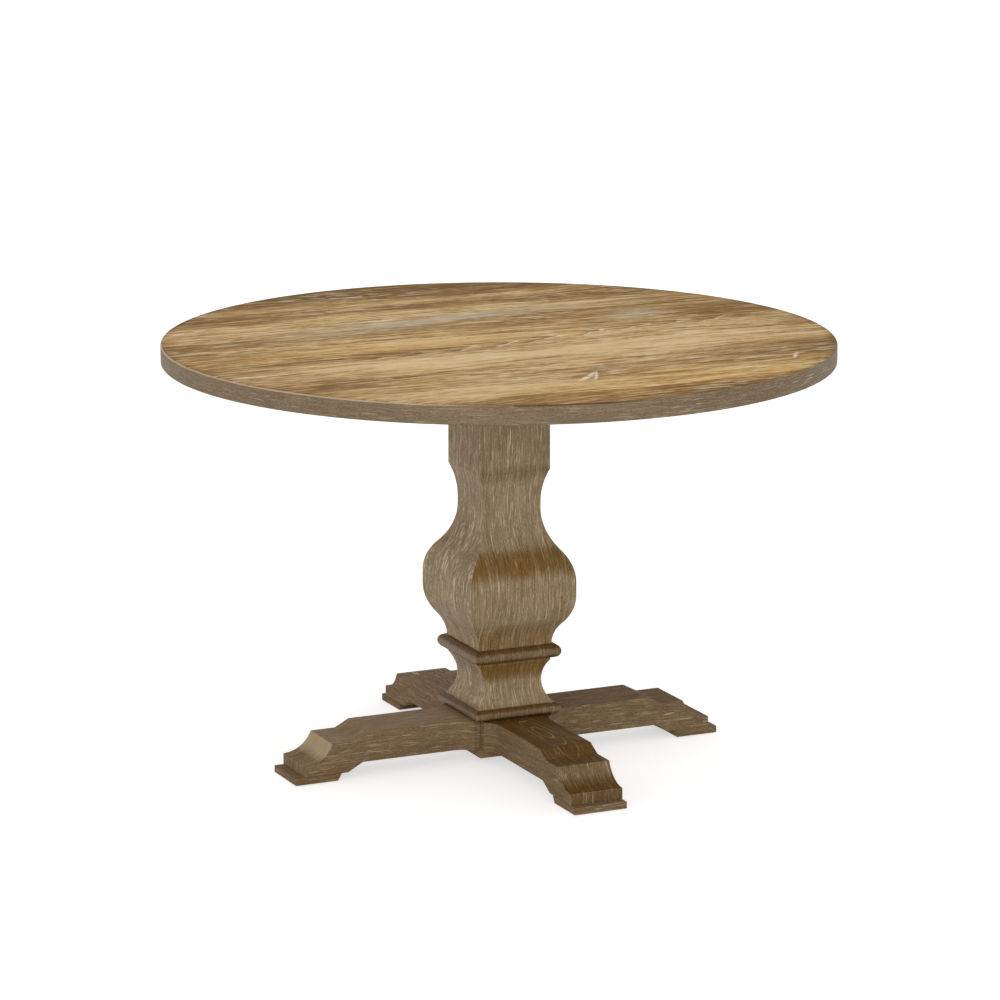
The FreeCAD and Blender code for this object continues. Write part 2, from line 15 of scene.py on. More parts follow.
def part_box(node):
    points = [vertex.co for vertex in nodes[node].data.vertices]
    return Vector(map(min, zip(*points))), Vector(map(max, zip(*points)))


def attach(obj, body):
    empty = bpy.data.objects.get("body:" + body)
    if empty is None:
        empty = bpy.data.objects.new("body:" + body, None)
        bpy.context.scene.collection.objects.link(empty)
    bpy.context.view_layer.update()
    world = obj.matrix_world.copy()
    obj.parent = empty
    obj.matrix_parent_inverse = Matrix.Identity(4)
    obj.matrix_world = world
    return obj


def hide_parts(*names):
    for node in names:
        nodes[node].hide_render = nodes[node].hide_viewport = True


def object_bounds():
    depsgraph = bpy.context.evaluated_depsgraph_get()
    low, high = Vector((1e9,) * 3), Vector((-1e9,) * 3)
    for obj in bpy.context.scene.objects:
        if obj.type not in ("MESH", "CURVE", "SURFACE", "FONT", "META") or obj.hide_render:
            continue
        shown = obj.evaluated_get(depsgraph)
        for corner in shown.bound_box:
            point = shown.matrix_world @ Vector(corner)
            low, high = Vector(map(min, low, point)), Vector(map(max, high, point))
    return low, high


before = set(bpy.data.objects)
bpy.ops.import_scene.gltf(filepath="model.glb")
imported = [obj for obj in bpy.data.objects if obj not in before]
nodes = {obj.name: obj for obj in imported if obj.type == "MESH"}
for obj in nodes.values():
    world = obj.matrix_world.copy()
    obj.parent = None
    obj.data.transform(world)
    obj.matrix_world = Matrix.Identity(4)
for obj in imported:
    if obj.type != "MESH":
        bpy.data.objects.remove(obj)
cad_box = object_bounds()
print(f"{len(nodes)} pieces in the frame, {cad_box[1].z:.3f} m high")

# %% [markdown]
# ## Sizes
# A piece has to stay exactly where the frame has it, so its place is read from the frame
# wherever a box can tell it.  What a box can't tell, such as the width of the neck halfway
# up the column, is a named value here.  Two more are not sizes of the wood: LEDGE is the step
# in height that lets a flat ledge be part of an outline, and TINY counts as no length at all.

# %% Sizes that the frame gives
column_low, column_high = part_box("column")
band_low, band_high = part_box("edge_band")
veneer_low, veneer_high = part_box("top_face_veneer")
waist_low, waist_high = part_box("waist_block")
leg_low, leg_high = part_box("leg_right")
pad_low, pad_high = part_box("foot_pad_right")
hub_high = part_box("hub_block")[1]
print(f"top {2 * band_high.y:.3f} m across, feet reach {pad_high.x:.3f} m from the middle")

# %% Sizes of the column and the waisted block
HEAD_HALF = 0.0702
NECK_HALF = 0.0576
TAIL_HALF = 0.0717
BEAD_TOP = column_low.z + 0.026
BULB_LOW = BEAD_TOP + 0.0914
BULB_HIGH = BULB_LOW + 0.025
NECK_LOW = BULB_HIGH + 0.130
NECK_HIGH = NECK_LOW + 0.012
HEAD_LOW = NECK_HIGH + 0.061
HEAD_SHADE_END = HEAD_LOW + 0.014
BULB_ROUND_LOW = 0.083
BULB_ROUND_HIGH = 0.088
WAIST_HALF = 0.070
WAIST_DEPTH = 0.0124
WAIST_FILLET = 0.005
WAIST_FOOT_TOP = waist_low.z + 0.0206
LEDGE = 0.00005
TINY = 1e-5

# %% [markdown]
# ## Working in edit mode
# A script can model the way a hand does: add a primitive, extrude it, resize what was
# extruded, and let a modifier ease the edges.  Every operator acts on all that is selected,
# so each piece starts with nothing selected.


# %% Start with nothing selected
def only(piece=None):
    """Select this object alone, or nothing."""
    bpy.ops.object.select_all(action="DESELECT")
    if piece is not None:
        piece.select_set(True)
        bpy.context.view_layer.objects.active = piece


def apply(piece, modifier):
    """Make a modifier part of the mesh."""
    only(piece)
    bpy.ops.object.modifier_apply(modifier=modifier.name)


def end_editing():
    """Point every face outwards and leave edit mode."""
    bpy.ops.mesh.select_all(action="SELECT")
    bpy.ops.mesh.normals_make_consistent(inside=False)
    bpy.ops.object.mode_set(mode="OBJECT")


# %% [markdown]
# ## One way to make every sawn block
# The column, the waisted block, the feet and their pads are all blocks whose section is a
# rectangle everywhere.  They could be cut out of a board by booleans, but then the long faces
# come out as odd many-sided faces.  Extruding a rectangle from section to section, and
# resizing it each time, gives clean rows of four-sided faces that bevel and shade well.


# %% Extrude a block through its sections
def block_through(name, axis, sections):
    """A block along one axis.  A section is its place and its two (low, high) spans."""
    others = [side for side in range(3) if side != axis]

    def middle(section):
        point = Vector((0, 0, 0))
        point[axis] = section[0]
        for side, (low, high) in zip(others, section[1:]):
            point[side] = (low + high) / 2
        return point

    def size(section):
        spans = Vector((1, 1, 1))
        for side, (low, high) in zip(others, section[1:]):
            spans[side] = high - low
        return spans

    only()
    turn = (0, math.radians(90), 0) if axis == 0 else (0, 0, 0)
    start = middle(sections[0])
    bpy.ops.mesh.primitive_plane_add(size=1, location=start, rotation=turn)
    block = bpy.context.object
    block.name = name
    bpy.ops.object.transform_apply(location=True, rotation=True, scale=True)
    bpy.ops.object.mode_set(mode="EDIT")
    bpy.ops.transform.resize(value=size(sections[0]), center_override=start)
    for before, after in zip(sections, sections[1:]):
        step = middle(after) - middle(before)
        bpy.ops.mesh.extrude_region_move(TRANSFORM_OT_translate={"value": step})
        old, new = size(before), size(after)
        growth = [new[side] / old[side] for side in range(3)]
        bpy.ops.transform.resize(value=growth, center_override=middle(after))
    end_editing()
    return block


# %% [markdown]
# ## Eased edges and shading
# A sanded arris is never a sharp line: it is a narrow round that catches the light.  The
# Bevel modifier rounds every edge that turns by more than its limit, and can give the new
# faces a material of their own, which is how the arrises get paler, partly as wear and
# partly as a painted highlight.  Where only some edges are rounded, a bevel weight on each
# says how much of the width it takes.  Smooth shading would make the large flat faces look
# swollen, so a Weighted Normal modifier lets the large faces decide.


# %% Ease and shade
def bevel_by_share(piece, width, steps, share):
    """Round each edge by a share of the width, told from the edge's two ends."""
    mesh = piece.data
    weights = mesh.attributes.new("bevel_weight_edge", "FLOAT", "EDGE")
    for edge in mesh.edges:
        weights.data[edge.index].value = share(*(mesh.vertices[end].co for end in edge.vertices))
    bevel = piece.modifiers.new("round", "BEVEL")
    bevel.width = width
    bevel.segments = steps
    bevel.limit_method = "WEIGHT"
    apply(piece, bevel)


def ease(piece, width, steps, limit=20):
    """Round the edges that turn by more than this many degrees, in the arris finish."""
    bevel = piece.modifiers.new("ease", "BEVEL")
    bevel.width = width
    bevel.segments = steps
    bevel.limit_method = "ANGLE"
    bevel.angle_limit = math.radians(limit)
    bevel.material = 1
    apply(piece, bevel)


def shade(piece, angle):
    """Smooth shading up to this angle, with flat faces kept flat."""
    only(piece)
    bpy.ops.object.shade_smooth_by_angle(angle=math.radians(angle))
    weighted = piece.modifiers.new("flat stays flat", "WEIGHTED_NORMAL")
    weighted.keep_sharp = True
    apply(piece, weighted)


# %% [markdown]
# ## A map that follows the grain
# Wood grain runs along a piece and bends with a moulded face.  A pattern in plain object
# space would cut through the curves, so each piece gets a UV map called grain, in metres:
# U runs along the wood over every curve, and V runs across it.


# %% Lay the grain map
def lay_grain(piece, place, shift=(0.0, 0.0)):
    """Give each face corner (along, across) from its point and its face's normal."""
    mesh = piece.data
    grain_map = mesh.uv_layers.new(name="grain")
    for polygon in mesh.polygons:
        for corner in polygon.loop_indices:
            point = mesh.vertices[mesh.loops[corner].vertex_index].co
            along, across = place(point, polygon.normal, polygon.center)
            grain_map.data[corner].uv = (along + shift[0], across + shift[1])


def walked(outline):
    """How far one has walked along an outline of (place, height) points at some place."""
    lengths = [0.0]
    for (place_a, out_a), (place_b, out_b) in zip(outline, outline[1:]):
        lengths.append(lengths[-1] + math.hypot(place_b - place_a, out_b - out_a))

    def distance(place):
        for index in range(1, len(outline)):
            low, high = outline[index - 1][0], outline[index][0]
            if place <= high or index == len(outline) - 1:
                share = (place - low) / (high - low)
                return lengths[index - 1] + share * (lengths[index] - lengths[index - 1])
    return distance


# %% [markdown]
# ## Painted shade and light
# Faces that turn up under the top, hollows, ledges and some corners and sides are darkened in
# their colour by a brown tint, as painted shade, while the upright faces stay greyish.  Each
# piece stores a number for it at every vertex, from 0 (none) to 1 (full), and on the pads the
# same number is a thin glaze.  Where the number is below 0, the pores hold more of the pale wax
# instead, as painted light, and below -1 a thin pale veil over the wood adds more painted light.


# %% Store the painted shade and light
def part_way(value, low, high):
    """How far a value has come from low to high, from 0 to 1."""
    return min(1.0, max(0.0, (value - low) / (high - low)))


def eased(value, low, high):
    """A smooth step from 0 at low to 1 at high."""
    share = part_way(value, low, high)
    return share * share * (3 - 2 * share)


def painted_shade_light_and_glaze(piece, rule, quarters=0):
    """Store the painted shade and light of each vertex, and a pad's glaze, from its point and
    normal before the quarter turns.
    """
    mesh = piece.data
    stored = mesh.attributes.new("painted_shade_light_and_glaze", "FLOAT", "POINT")
    back = Matrix.Rotation(-math.radians(90 * quarters), 3, "Z")
    for vertex in mesh.vertices:
        stored.data[vertex.index].value = rule(back @ vertex.co, back @ vertex.normal)


# %% [markdown]
# Round a block the painted shade lies in level bands, darkest in the core of each band and
# lighter towards its edges.  It is stronger on the front and the right than on the left and
# the back, and a little lies along the corners.  Painted light, as more pale wax in the pores,
# is a band of the left side only.

# %% Bands of painted shade and light round a block
CORNER_SHADE = 0.45
LEAST_SIDE_SHADE = 0.3
LEAST_LEFT = 0.3
SHADE_CORE = 0.15
LIGHT_CORE = 0.3


def shade_and_light_bands(bands, painted_light=()):
    """Painted shade in bands of (level, half height, strength), and painted light in (level, half
    height).
    """
    def rule(point, normal):
        left = max(0.0, -normal.x)
        for level, half in painted_light:
            near_band = eased(abs(point.z - level), half, half * LIGHT_CORE)
            if left > LEAST_LEFT and near_band > 0:
                return -left * near_band
        side_shade = LEAST_SIDE_SHADE + (1 - LEAST_SIDE_SHADE) * max(0.0, -normal.y, normal.x)
        near, far = sorted((abs(point.x), abs(point.y)))
        darkened = CORNER_SHADE * eased(near / far, 0.8, 1.0)
        for level, half, full in bands:
            darkened = max(darkened, full * eased(abs(point.z - level), half, half * SHADE_CORE))
        return darkened * side_shade
    return rule


# %% Hand a finished piece to the frame
def hand_over(piece, node):
    """The piece rides on the table and stands for its node, which is hidden."""
    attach(piece, "root")
    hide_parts(node)
    print(f"{piece.name}: {len(piece.data.polygons)} faces")


# %% [markdown]
# ## Arcs
# A turner reads a moulding as arcs that meet smoothly.  Each arc here starts and ends at a
# known (height, width) and has its centre on a known level, which fixes it fully.  Where a
# hollow arc runs on into a round one, the two meet on the line between their outer ends, and
# the radius of the round one tells how far along it.


# %% An arc between two heights
def arc(start, end, level, steps):
    """Points after start up to end, on the circle through both with its centre on a level."""
    (low, near), (high, far) = start, end
    across = ((far ** 2 - near ** 2) + (high - level) ** 2 - (low - level) ** 2)
    across /= 2 * (far - near)
    radius = math.hypot(near - across, low - level)
    side = 1 if near > across else -1
    first = math.asin((low - level) / radius)
    last = math.asin((high - level) / radius)
    points = []
    for step in range(1, steps + 1):
        angle = first + (last - first) * step / steps
        points.append((level + radius * math.sin(angle),
                       across + side * radius * math.cos(angle)))
    return points


def ogee_turn(hollow, full, round_radius):
    """Where the hollow arc that starts at one (height, width) meets the round of the other."""
    rise = full[0] - hollow[0]
    run = full[1] - hollow[1]
    both_radii = (rise ** 2 + run ** 2) / (2 * run)
    share = 1 - round_radius / both_radii
    return hollow[0] + rise * share, hollow[1] + run * share


# %% [markdown]
# ## The column
# The column is one glued-up square post, shaped with the same outline on all four sides:
# a hollow tail, a full bulb, a hollow shoulder, a neck, and a flare up to the square head.
# A lathe can't make this, because the section stays square.  It is sawn and moulded side by
# side, so the model is a stack of squares that follow the outline.  One level low on the head
# changes nothing in the shape: it is there for the painted shade under the head, which can only
# fade between two rows of vertices.

# %% The outline of the column
bulb_half = column_high.x
tail_turn = ogee_turn((BEAD_TOP, TAIL_HALF), (BULB_LOW, bulb_half), BULB_ROUND_LOW)
shoulder_turn = ogee_turn((NECK_LOW, NECK_HALF), (BULB_HIGH, bulb_half), BULB_ROUND_HIGH)
column_outline = [(column_low.z, TAIL_HALF), (BEAD_TOP, TAIL_HALF)]
column_outline += arc(column_outline[-1], tail_turn, BEAD_TOP, 16)
column_outline += arc(tail_turn, (BULB_LOW, bulb_half), BULB_LOW, 16)
column_outline += [(BULB_HIGH, bulb_half)]
column_outline += arc(column_outline[-1], shoulder_turn, BULB_HIGH, 18)
column_outline += arc(shoulder_turn, (NECK_LOW, NECK_HALF), NECK_LOW, 18)
column_outline += [(NECK_HIGH, NECK_HALF)]
column_outline += arc(column_outline[-1], (HEAD_LOW, HEAD_HALF), NECK_HIGH, 14)
column_outline += [(HEAD_SHADE_END, HEAD_HALF), (column_high.z, HEAD_HALF)]
print(f"{len(column_outline)} levels, bulb {2 * bulb_half:.3f} m wide")


# %% A block that is square at every level
def square_block(name, outline):
    """Stack squares of these half widths."""
    sections = [(level, (-half, half), (-half, half)) for level, half in outline]
    return block_through(name, 2, sections)


column = square_block("oak_column", column_outline)

# %% [markdown]
# The upright corners are rounded more on the head and neck than round the bulb, where sanding
# would lose the sharp line.  So each corner edge takes a share that goes by its level.

# %% Round the upright corners
CORNER_ROUND = 0.0065
BULB_SHARE = 0.3
CORNER_STEPS = 6


def corner_share(level):
    """The share of the full corner round at a level of the column."""
    return BULB_SHARE + (1 - BULB_SHARE) * eased(level, BULB_HIGH, NECK_LOW)


def round_corners(piece, width, share):
    """Bevel the upright corner edges of a square block by a share of the width."""
    def corner(low, high):
        upright = abs(high.z - low.z) > TINY and abs(abs(low.x) - abs(low.y)) < TINY
        return share((low.z + high.z) / 2) if upright else 0.0
    bevel_by_share(piece, width, CORNER_STEPS, corner)


round_corners(column, CORNER_ROUND, corner_share)


# %% Grain up the column
SIDE_STEP = 1.3
SIDE_FIGURE = 0.38


def grain_upright(outline):
    """Grain that climbs the outline of a square block, with a leaf of its own on each side."""
    climbed = walked(outline)

    def place(point, normal, centre):
        if abs(normal.z) > 0.9:
            return point.x, point.y
        if abs(normal.x) > abs(normal.y):
            leaf = 1 if normal.x > 0 else 2
            return climbed(point.z) + leaf * SIDE_STEP, SIDE_FIGURE * point.y
        leaf = 3 if normal.y > 0 else 0
        return climbed(point.z) + leaf * SIDE_STEP, point.x
    return place


lay_grain(column, grain_upright(column_outline))

# %% [markdown]
# The shoulder over the bulb, the hollow of the tail and the flare under the head get painted
# shade.  The left side of the shoulder gets painted light instead, as more pale wax.

# %% Painted shade and light on the column
COLUMN_SHADE = (
    (BULB_HIGH + 0.042, 0.046, 1.1),
    (BEAD_TOP + 0.020, 0.060, 0.8),
    (HEAD_LOW - 0.004, 0.022, 0.6))
COLUMN_LIGHT = ((BULB_HIGH + 0.035, 0.095),)
painted_shade_light_and_glaze(column, shade_and_light_bands(COLUMN_SHADE, COLUMN_LIGHT))
shade(column, 19)
hand_over(column, "column")

# %% [markdown]
# ## The waisted block
# Under the column a shorter block is hollowed on all four sides.  Small fillets stand above
# and below the hollow, and its wider foot carries the lower bead.  Its painted shade is one
# band at the top of the hollow, under the bead above.

# %% Make the waisted block
hollow_low = WAIST_FOOT_TOP + WAIST_FILLET
hollow_high = waist_high.z - WAIST_FILLET
hollow_half = (hollow_high - hollow_low) / 2
hollow_radius = (WAIST_DEPTH ** 2 + hollow_half ** 2) / (2 * WAIST_DEPTH)
hollow_level = (hollow_low + hollow_high) / 2
hollow_centre = WAIST_HALF - WAIST_DEPTH + hollow_radius
HOLLOW_STEPS = 30
waist_outline = [(waist_low.z, waist_high.x), (WAIST_FOOT_TOP, waist_high.x),
                 (WAIST_FOOT_TOP + LEDGE, WAIST_HALF), (hollow_low, WAIST_HALF)]
for step in range(1, HOLLOW_STEPS):
    level = hollow_low + (hollow_high - hollow_low) * step / HOLLOW_STEPS
    half = hollow_centre - math.sqrt(hollow_radius ** 2 - (level - hollow_level) ** 2)
    waist_outline.append((level, half))
waist_outline += [(hollow_high, WAIST_HALF), (waist_high.z, WAIST_HALF)]
waist = square_block("oak_waisted_block", waist_outline)

# %% Round, map and paint shade on it
WAIST_CORNER = 0.0022
WAIST_SHADE = ((hollow_high - 0.004, 0.050, 1.1),)
round_corners(waist, WAIST_CORNER, lambda level: 1.0)
lay_grain(waist, grain_upright(waist_outline), shift=(5.2, 0.4))
painted_shade_light_and_glaze(waist, shade_and_light_bands(WAIST_SHADE))
shade(waist, 19)
hand_over(waist, "waist_block")

# %% [markdown]
# ## The beads
# Two half-round mouldings run round the post, mitred at the corners.  A mitre is easiest to
# get right by cutting it: a ring of the whole moulding is modelled as a square cushion, and
# three bisections leave one side of it, with both mitres and its flat back.

# %% Cut one side out of a cushion
BEAD_STEPS = 14
BEAD_ARRIS = 0.0005


def bead_side(name, back, bottom, top):
    """The strip on the +X side of a half-round bead that stands on a square of this half."""
    radius = (top - bottom) / 2
    outline = []
    for step in range(BEAD_STEPS + 1):
        angle = math.pi * step / BEAD_STEPS
        outline.append((bottom + radius * (1 - math.cos(angle)),
                        back + radius * math.sin(angle)))
    strip = square_block(name, outline)
    cuts = (((0, 0, 0), (1, 1, 0)), ((0, 0, 0), (1, -1, 0)), ((back, 0, 0), (1, 0, 0)))
    only(strip)
    bpy.ops.object.mode_set(mode="EDIT")
    for through, keep in cuts:
        bpy.ops.mesh.select_all(action="SELECT")
        bpy.ops.mesh.bisect(plane_co=through, plane_no=keep, use_fill=True, clear_inner=True)
    bpy.ops.mesh.select_all(action="SELECT")
    bpy.ops.mesh.remove_doubles(threshold=TINY)
    end_editing()
    return strip, (bottom + top) / 2, radius


# %% [markdown]
# One side is modelled, and the other three are copies with their own mesh, turned a quarter
# each and given another part of the grain.

# %% Turn copies round the post
SIDES = ("right", "back", "left", "front")
ALONG_STEP = 0.61
ACROSS_STEP = 0.37


def turned_copies(piece, base):
    """The piece and three copies, each turned a quarter further in its own mesh."""
    copies = [piece]
    while len(copies) < len(SIDES):
        copy = piece.copy()
        copy.data = piece.data.copy()
        bpy.context.scene.collection.objects.link(copy)
        copies.append(copy)
    for quarters, (side, copy) in enumerate(zip(SIDES, copies)):
        copy.name = f"{base}_{side}"
        copy.data.transform(Matrix.Rotation(math.radians(90 * quarters), 4, "Z"))
        for corner in copy.data.uv_layers["grain"].data:
            corner.uv += Vector((ALONG_STEP * quarters, ACROSS_STEP * quarters))
    return copies


# %% [markdown]
# The strip's figure runs over the round, as on a moulding that is wrapped across the grain.
# The round is darkened above and below as painted shade, and left pale in the middle as a
# painted highlight.


# %% Make the eight strips
def bead_shade_and_highlight(point, normal):
    """Painted shade where the round turns up or down, and a painted highlight in its middle,
    where there is none.
    """
    return eased(abs(normal.z), 0.25, 0.7)


def grain_over_bead(middle, radius, back):
    """Grain that climbs over the round of a bead."""
    def place(point, normal, centre):
        angle = math.atan2(point.z - middle, max(point.x - back, 1e-6))
        return radius * angle, point.y
    return place


beads = {}
for bead_name, node_name, back, shift in (
        ("oak_upper_bead", "upper_bead", TAIL_HALF, (0.0, 0.0)),
        ("oak_lower_bead", "lower_bead", waist_high.x, (3.1, 1.7))):
    low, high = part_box(node_name + "_right")
    strip, middle, radius = bead_side(bead_name, back, low.z, high.z)
    ease(strip, BEAD_ARRIS, 2, limit=40)
    lay_grain(strip, grain_over_bead(middle, radius, back), shift)
    painted_shade_light_and_glaze(strip, bead_shade_and_highlight)
    shade(strip, 30)
    beads[bead_name] = turned_copies(strip, bead_name)
    for side, piece in zip(SIDES, beads[bead_name]):
        hand_over(piece, f"{node_name}_{side}")

# %% [markdown]
# ## The feet
# Each foot is sawn from a thick plank: a straight back, a step down to a shelf, a cove down
# to the toe, and an arch below.  Near the hub its sides flare out in two quarter hollows, so
# that neighbouring feet close up round the hub.  Its section is a rectangle all the way, so
# three small rules give its width, its top and its bottom at any distance from the middle.

# %% Rules for the section of a foot
reach = pad_high.x
toe = leg_high.x
leg_half = pad_high.y
hub_half = hub_high.x
TOE_TOP = 0.034
SHELF = 0.0699
ARCH = 0.0295
COVE_IN = reach - 0.0704
SHELF_IN = reach - 0.1162
STEP_IN = reach - 0.1435
HEEL_IN = reach - 0.1005
ARCH_IN = reach - 0.1295
FLARE_END = hub_half + 0.044
FLARE_START = FLARE_END - 0.030
cove_radius = ((toe - COVE_IN) ** 2 + (SHELF - TOE_TOP) ** 2) / (2 * (SHELF - TOE_TOP))
flare_drop = hub_half - leg_half
flare_radius = ((FLARE_END - FLARE_START) ** 2 + flare_drop ** 2) / (2 * flare_drop)


def between(place, start, end, before, after):
    """A straight change from one value to another."""
    return before + (after - before) * part_way(place, start, end)


def foot_top(place):
    """The upper outline: back, step, shelf and cove."""
    if place <= COVE_IN:
        return between(place, STEP_IN, SHELF_IN, leg_high.z, SHELF)
    return TOE_TOP + cove_radius - math.sqrt(cove_radius ** 2 - (toe - place) ** 2)


def foot_half(place):
    """Half the width: full at the hub, then a hollow flare down to the foot's own width."""
    if place <= FLARE_START:
        return hub_half
    if place >= FLARE_END:
        return leg_half
    return leg_half + flare_radius - math.sqrt(flare_radius ** 2 - (FLARE_END - place) ** 2)


# %% Extrude the foot outwards from the hub
FLARE_STEPS = 12
COVE_STEPS = 18
places = [hub_half, FLARE_START, FLARE_END, STEP_IN, SHELF_IN, ARCH_IN, HEEL_IN, COVE_IN]
for step in range(1, FLARE_STEPS):
    places.append(FLARE_START + (FLARE_END - FLARE_START) * step / FLARE_STEPS)
widest = math.asin((toe - COVE_IN) / cove_radius)
for step in range(COVE_STEPS):
    places.append(toe - cove_radius * math.sin(widest * step / COVE_STEPS))
places.sort()
foot_sections = []
for place in places:
    half = foot_half(place)
    bottom = between(place, ARCH_IN, HEEL_IN, ARCH, leg_low.z)
    foot_sections.append((place, (-half, half), (bottom, foot_top(place))))
foot = block_through("oak_leg", 0, foot_sections)
FOOT_ARRIS = 0.0013
ease(foot, FOOT_ARRIS, 3)

# %% Grain along the foot
SIDE_LEAF = 1.9
UNDER_LEAF = 3.3
top_walk = walked([(place, foot_top(place)) for place in places])
side_walk = walked([(place, foot_half(place)) for place in places])


def grain_along_foot(point, normal, centre):
    """Grain that runs out along the foot, over its cove and down its toe."""
    if abs(normal.y) > 0.7 or (abs(normal.y) > 0.3 and centre.x < FLARE_END):
        return side_walk(point.x) + SIDE_LEAF, point.z
    if normal.x > 0.7 and centre.x > toe - 0.01:
        return top_walk(toe) + TOE_TOP - point.z, point.y
    if normal.z < 0:
        return point.x + UNDER_LEAF, point.y
    return top_walk(point.x), point.y


lay_grain(foot, grain_along_foot)
shade(foot, 32)
feet = turned_copies(foot, "oak_leg")

# %% [markdown]
# The tops and ends of the feet get painted shade, with a strength of its own on each foot.
# The front one gets it in full on its top, the right one a little over half, and the other
# two get painted light instead, as more pale wax.  The left foot gets the most painted light
# in its cove, which is nearly white there.  So the strength is set foot by foot, and one rule
# lays it out on all four, as if each still lay along +X.

# %% Painted shade and light on each foot
FOOT_SHADE = {"right": 0.6, "back": -0.8, "left": -1.3, "front": 1.0}
COVE_LIGHT = {"left": 2.4, "back": 0.6}
END_SHARE = 0.6


def foot_shade_and_light(side):
    """Painted shade on the top and the end of one foot, painted light where its strength is below
    0, and painted light in its cove.
    """
    def rule(point, normal):
        if side in COVE_LIGHT and point.x > COVE_IN and normal.z > 0.1:
            return -COVE_LIGHT[side] * (1 - eased(point.x, COVE_IN, toe))
        top, end = eased(normal.z, 0.5, 1.0), eased(normal.x, 0.8, 1.0)
        return FOOT_SHADE[side] * max(top, END_SHARE * end)
    return rule


for quarters, (side, piece) in enumerate(zip(SIDES, feet)):
    painted_shade_light_and_glaze(piece, foot_shade_and_light(side), quarters)
    hand_over(piece, f"leg_{side}")

# %% [markdown]
# ## The foot pads
# A flat pad is screwed under each toe, flush with the sides of the foot and a little proud of
# the toe.  Its heel is cut at a slant.  From below one sees two sunk screws and a nylon glide
# in a shallow seat, so the seats are cut with booleans.

# %% Shape a pad
PAD_SLANT = 0.0074
GLIDE_RADIUS = 0.015
GLIDE_SEAT = 0.002
PAD_ARRIS = 0.0012
SCREW_SEAT_RADIUS = 0.004
SCREW_SPREAD = 0.030
pad_half = pad_high.y
pad = block_through("oak_foot_pad", 2, [
    (pad_low.z, (pad_low.x + PAD_SLANT, pad_high.x), (-pad_half, pad_half)),
    (pad_high.z, (pad_low.x, pad_high.x), (-pad_half, pad_half))])
ease(pad, PAD_ARRIS, 3)


# %% Cut the seats
def cut_seat(piece, radius, depth, place, across):
    """Cut a round seat of this depth into the bottom of the pad."""
    only()
    bpy.ops.mesh.primitive_cylinder_add(
        vertices=48, radius=radius, depth=2 * depth, location=(place, across, pad_low.z))
    cutter = bpy.context.object
    seat = piece.modifiers.new("seat", "BOOLEAN")
    seat.operation = "DIFFERENCE"
    seat.solver = "EXACT"
    seat.object = cutter
    apply(piece, seat)
    bpy.data.objects.remove(cutter)


pad_middle = (pad_low.x + PAD_SLANT + pad_high.x) / 2
cut_seat(pad, GLIDE_RADIUS, GLIDE_SEAT, pad_middle, 0)
for across in (-SCREW_SPREAD, SCREW_SPREAD):
    cut_seat(pad, SCREW_SEAT_RADIUS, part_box("foot_screws")[0].z - pad_low.z, pad_middle, across)


# %% Grain along the pad, and the same thin glaze all over it
PAD_GLAZE = 0.35


def grain_along_pad(point, normal, centre):
    """Grain along the foot, and end to end across the toe."""
    if abs(normal.x) > 0.7:
        return point.y, point.z
    if abs(normal.y) > 0.7:
        return point.x, point.z
    return point.x, point.y + 0.2


lay_grain(pad, grain_along_pad, shift=(7.7, 0.9))
painted_shade_light_and_glaze(pad, lambda point, normal: PAD_GLAZE)
shade(pad, 32)
pads = turned_copies(pad, "oak_foot_pad")
for side, piece in zip(SIDES, pads):
    hand_over(piece, f"foot_pad_{side}")

# %% [markdown]
# ## The tabletop
# The top is a veneered disc with a solid band bent round its edge.  The band is a ring that
# is rounded over above and below.  A ring can be spun from its section, or a circle can be
# extruded inwards and then up, which is shorter.

# %% Start a disc and raise it
AROUND = 256


def start_circle(name, radius, level, fill):
    """A circle round the middle of the table, in edit mode and selected all over."""
    only()
    bpy.ops.mesh.primitive_circle_add(vertices=AROUND, radius=radius, fill_type=fill,
                                      location=(0, 0, level))
    circle = bpy.context.object
    circle.name = name
    bpy.ops.object.transform_apply(location=True)
    bpy.ops.object.mode_set(mode="EDIT")
    bpy.ops.mesh.select_all(action="SELECT")
    return circle


def raise_up(low, high):
    """Extrude all of it from one level to the other."""
    bpy.ops.mesh.select_all(action="SELECT")
    bpy.ops.mesh.extrude_region_move(TRANSFORM_OT_translate={"value": (0, 0, high - low)})
    end_editing()


# %% Extrude a circle into the band
band_radius = band_high.y
face_radius = veneer_high.y
inwards = face_radius / band_radius
band = start_circle("oak_edge_band", band_radius, band_low.z, "NOTHING")
bpy.ops.mesh.extrude_edges_move()
bpy.ops.transform.resize(value=(inwards, inwards, 1), center_override=(0, 0, band_low.z))
raise_up(band_low.z, band_high.z)
print(f"band {band_radius - face_radius:.3f} m deep, {band_high.z - band_low.z:.3f} m high")

# %% Round over its outer edges
ROUND_OVER = 0.003
ROUND_OVER_STEPS = 6


def outer_edge(low, high):
    """1 for an edge that runs round the outside of the band, above or below."""
    outside = min(low.xy.length, high.xy.length) > band_radius - ROUND_OVER / 2
    return 1.0 if outside and abs(high.z - low.z) < TINY else 0.0


bevel_by_share(band, ROUND_OVER, ROUND_OVER_STEPS, outer_edge)


# %% Grain round the band
BAND_JOINT = math.radians(75)


def grain_round(point, normal, centre):
    """Grain that runs round the rim from the joint of the band, with no jump in a face."""
    around = (math.atan2(centre.y, centre.x) - BAND_JOINT) % (2 * math.pi)
    turn = math.atan2(point.y, point.x) - math.atan2(centre.y, centre.x)
    turn = (turn + math.pi) % (2 * math.pi) - math.pi
    return (around + turn) * band_radius, point.z - point.xy.length


lay_grain(band, grain_round, shift=(4.0, 0.6))

# %% [markdown]
# The upper round-over of the band gets painted shade, as a thin dark line round the top, but
# the rim isn't alike all the way round.  On one side that line gives way to a pale painted
# highlight, and on another the rim is lighter, as painted light.  Each of the two sides is a
# direction from the middle, and its strength fades with the angle away from it.

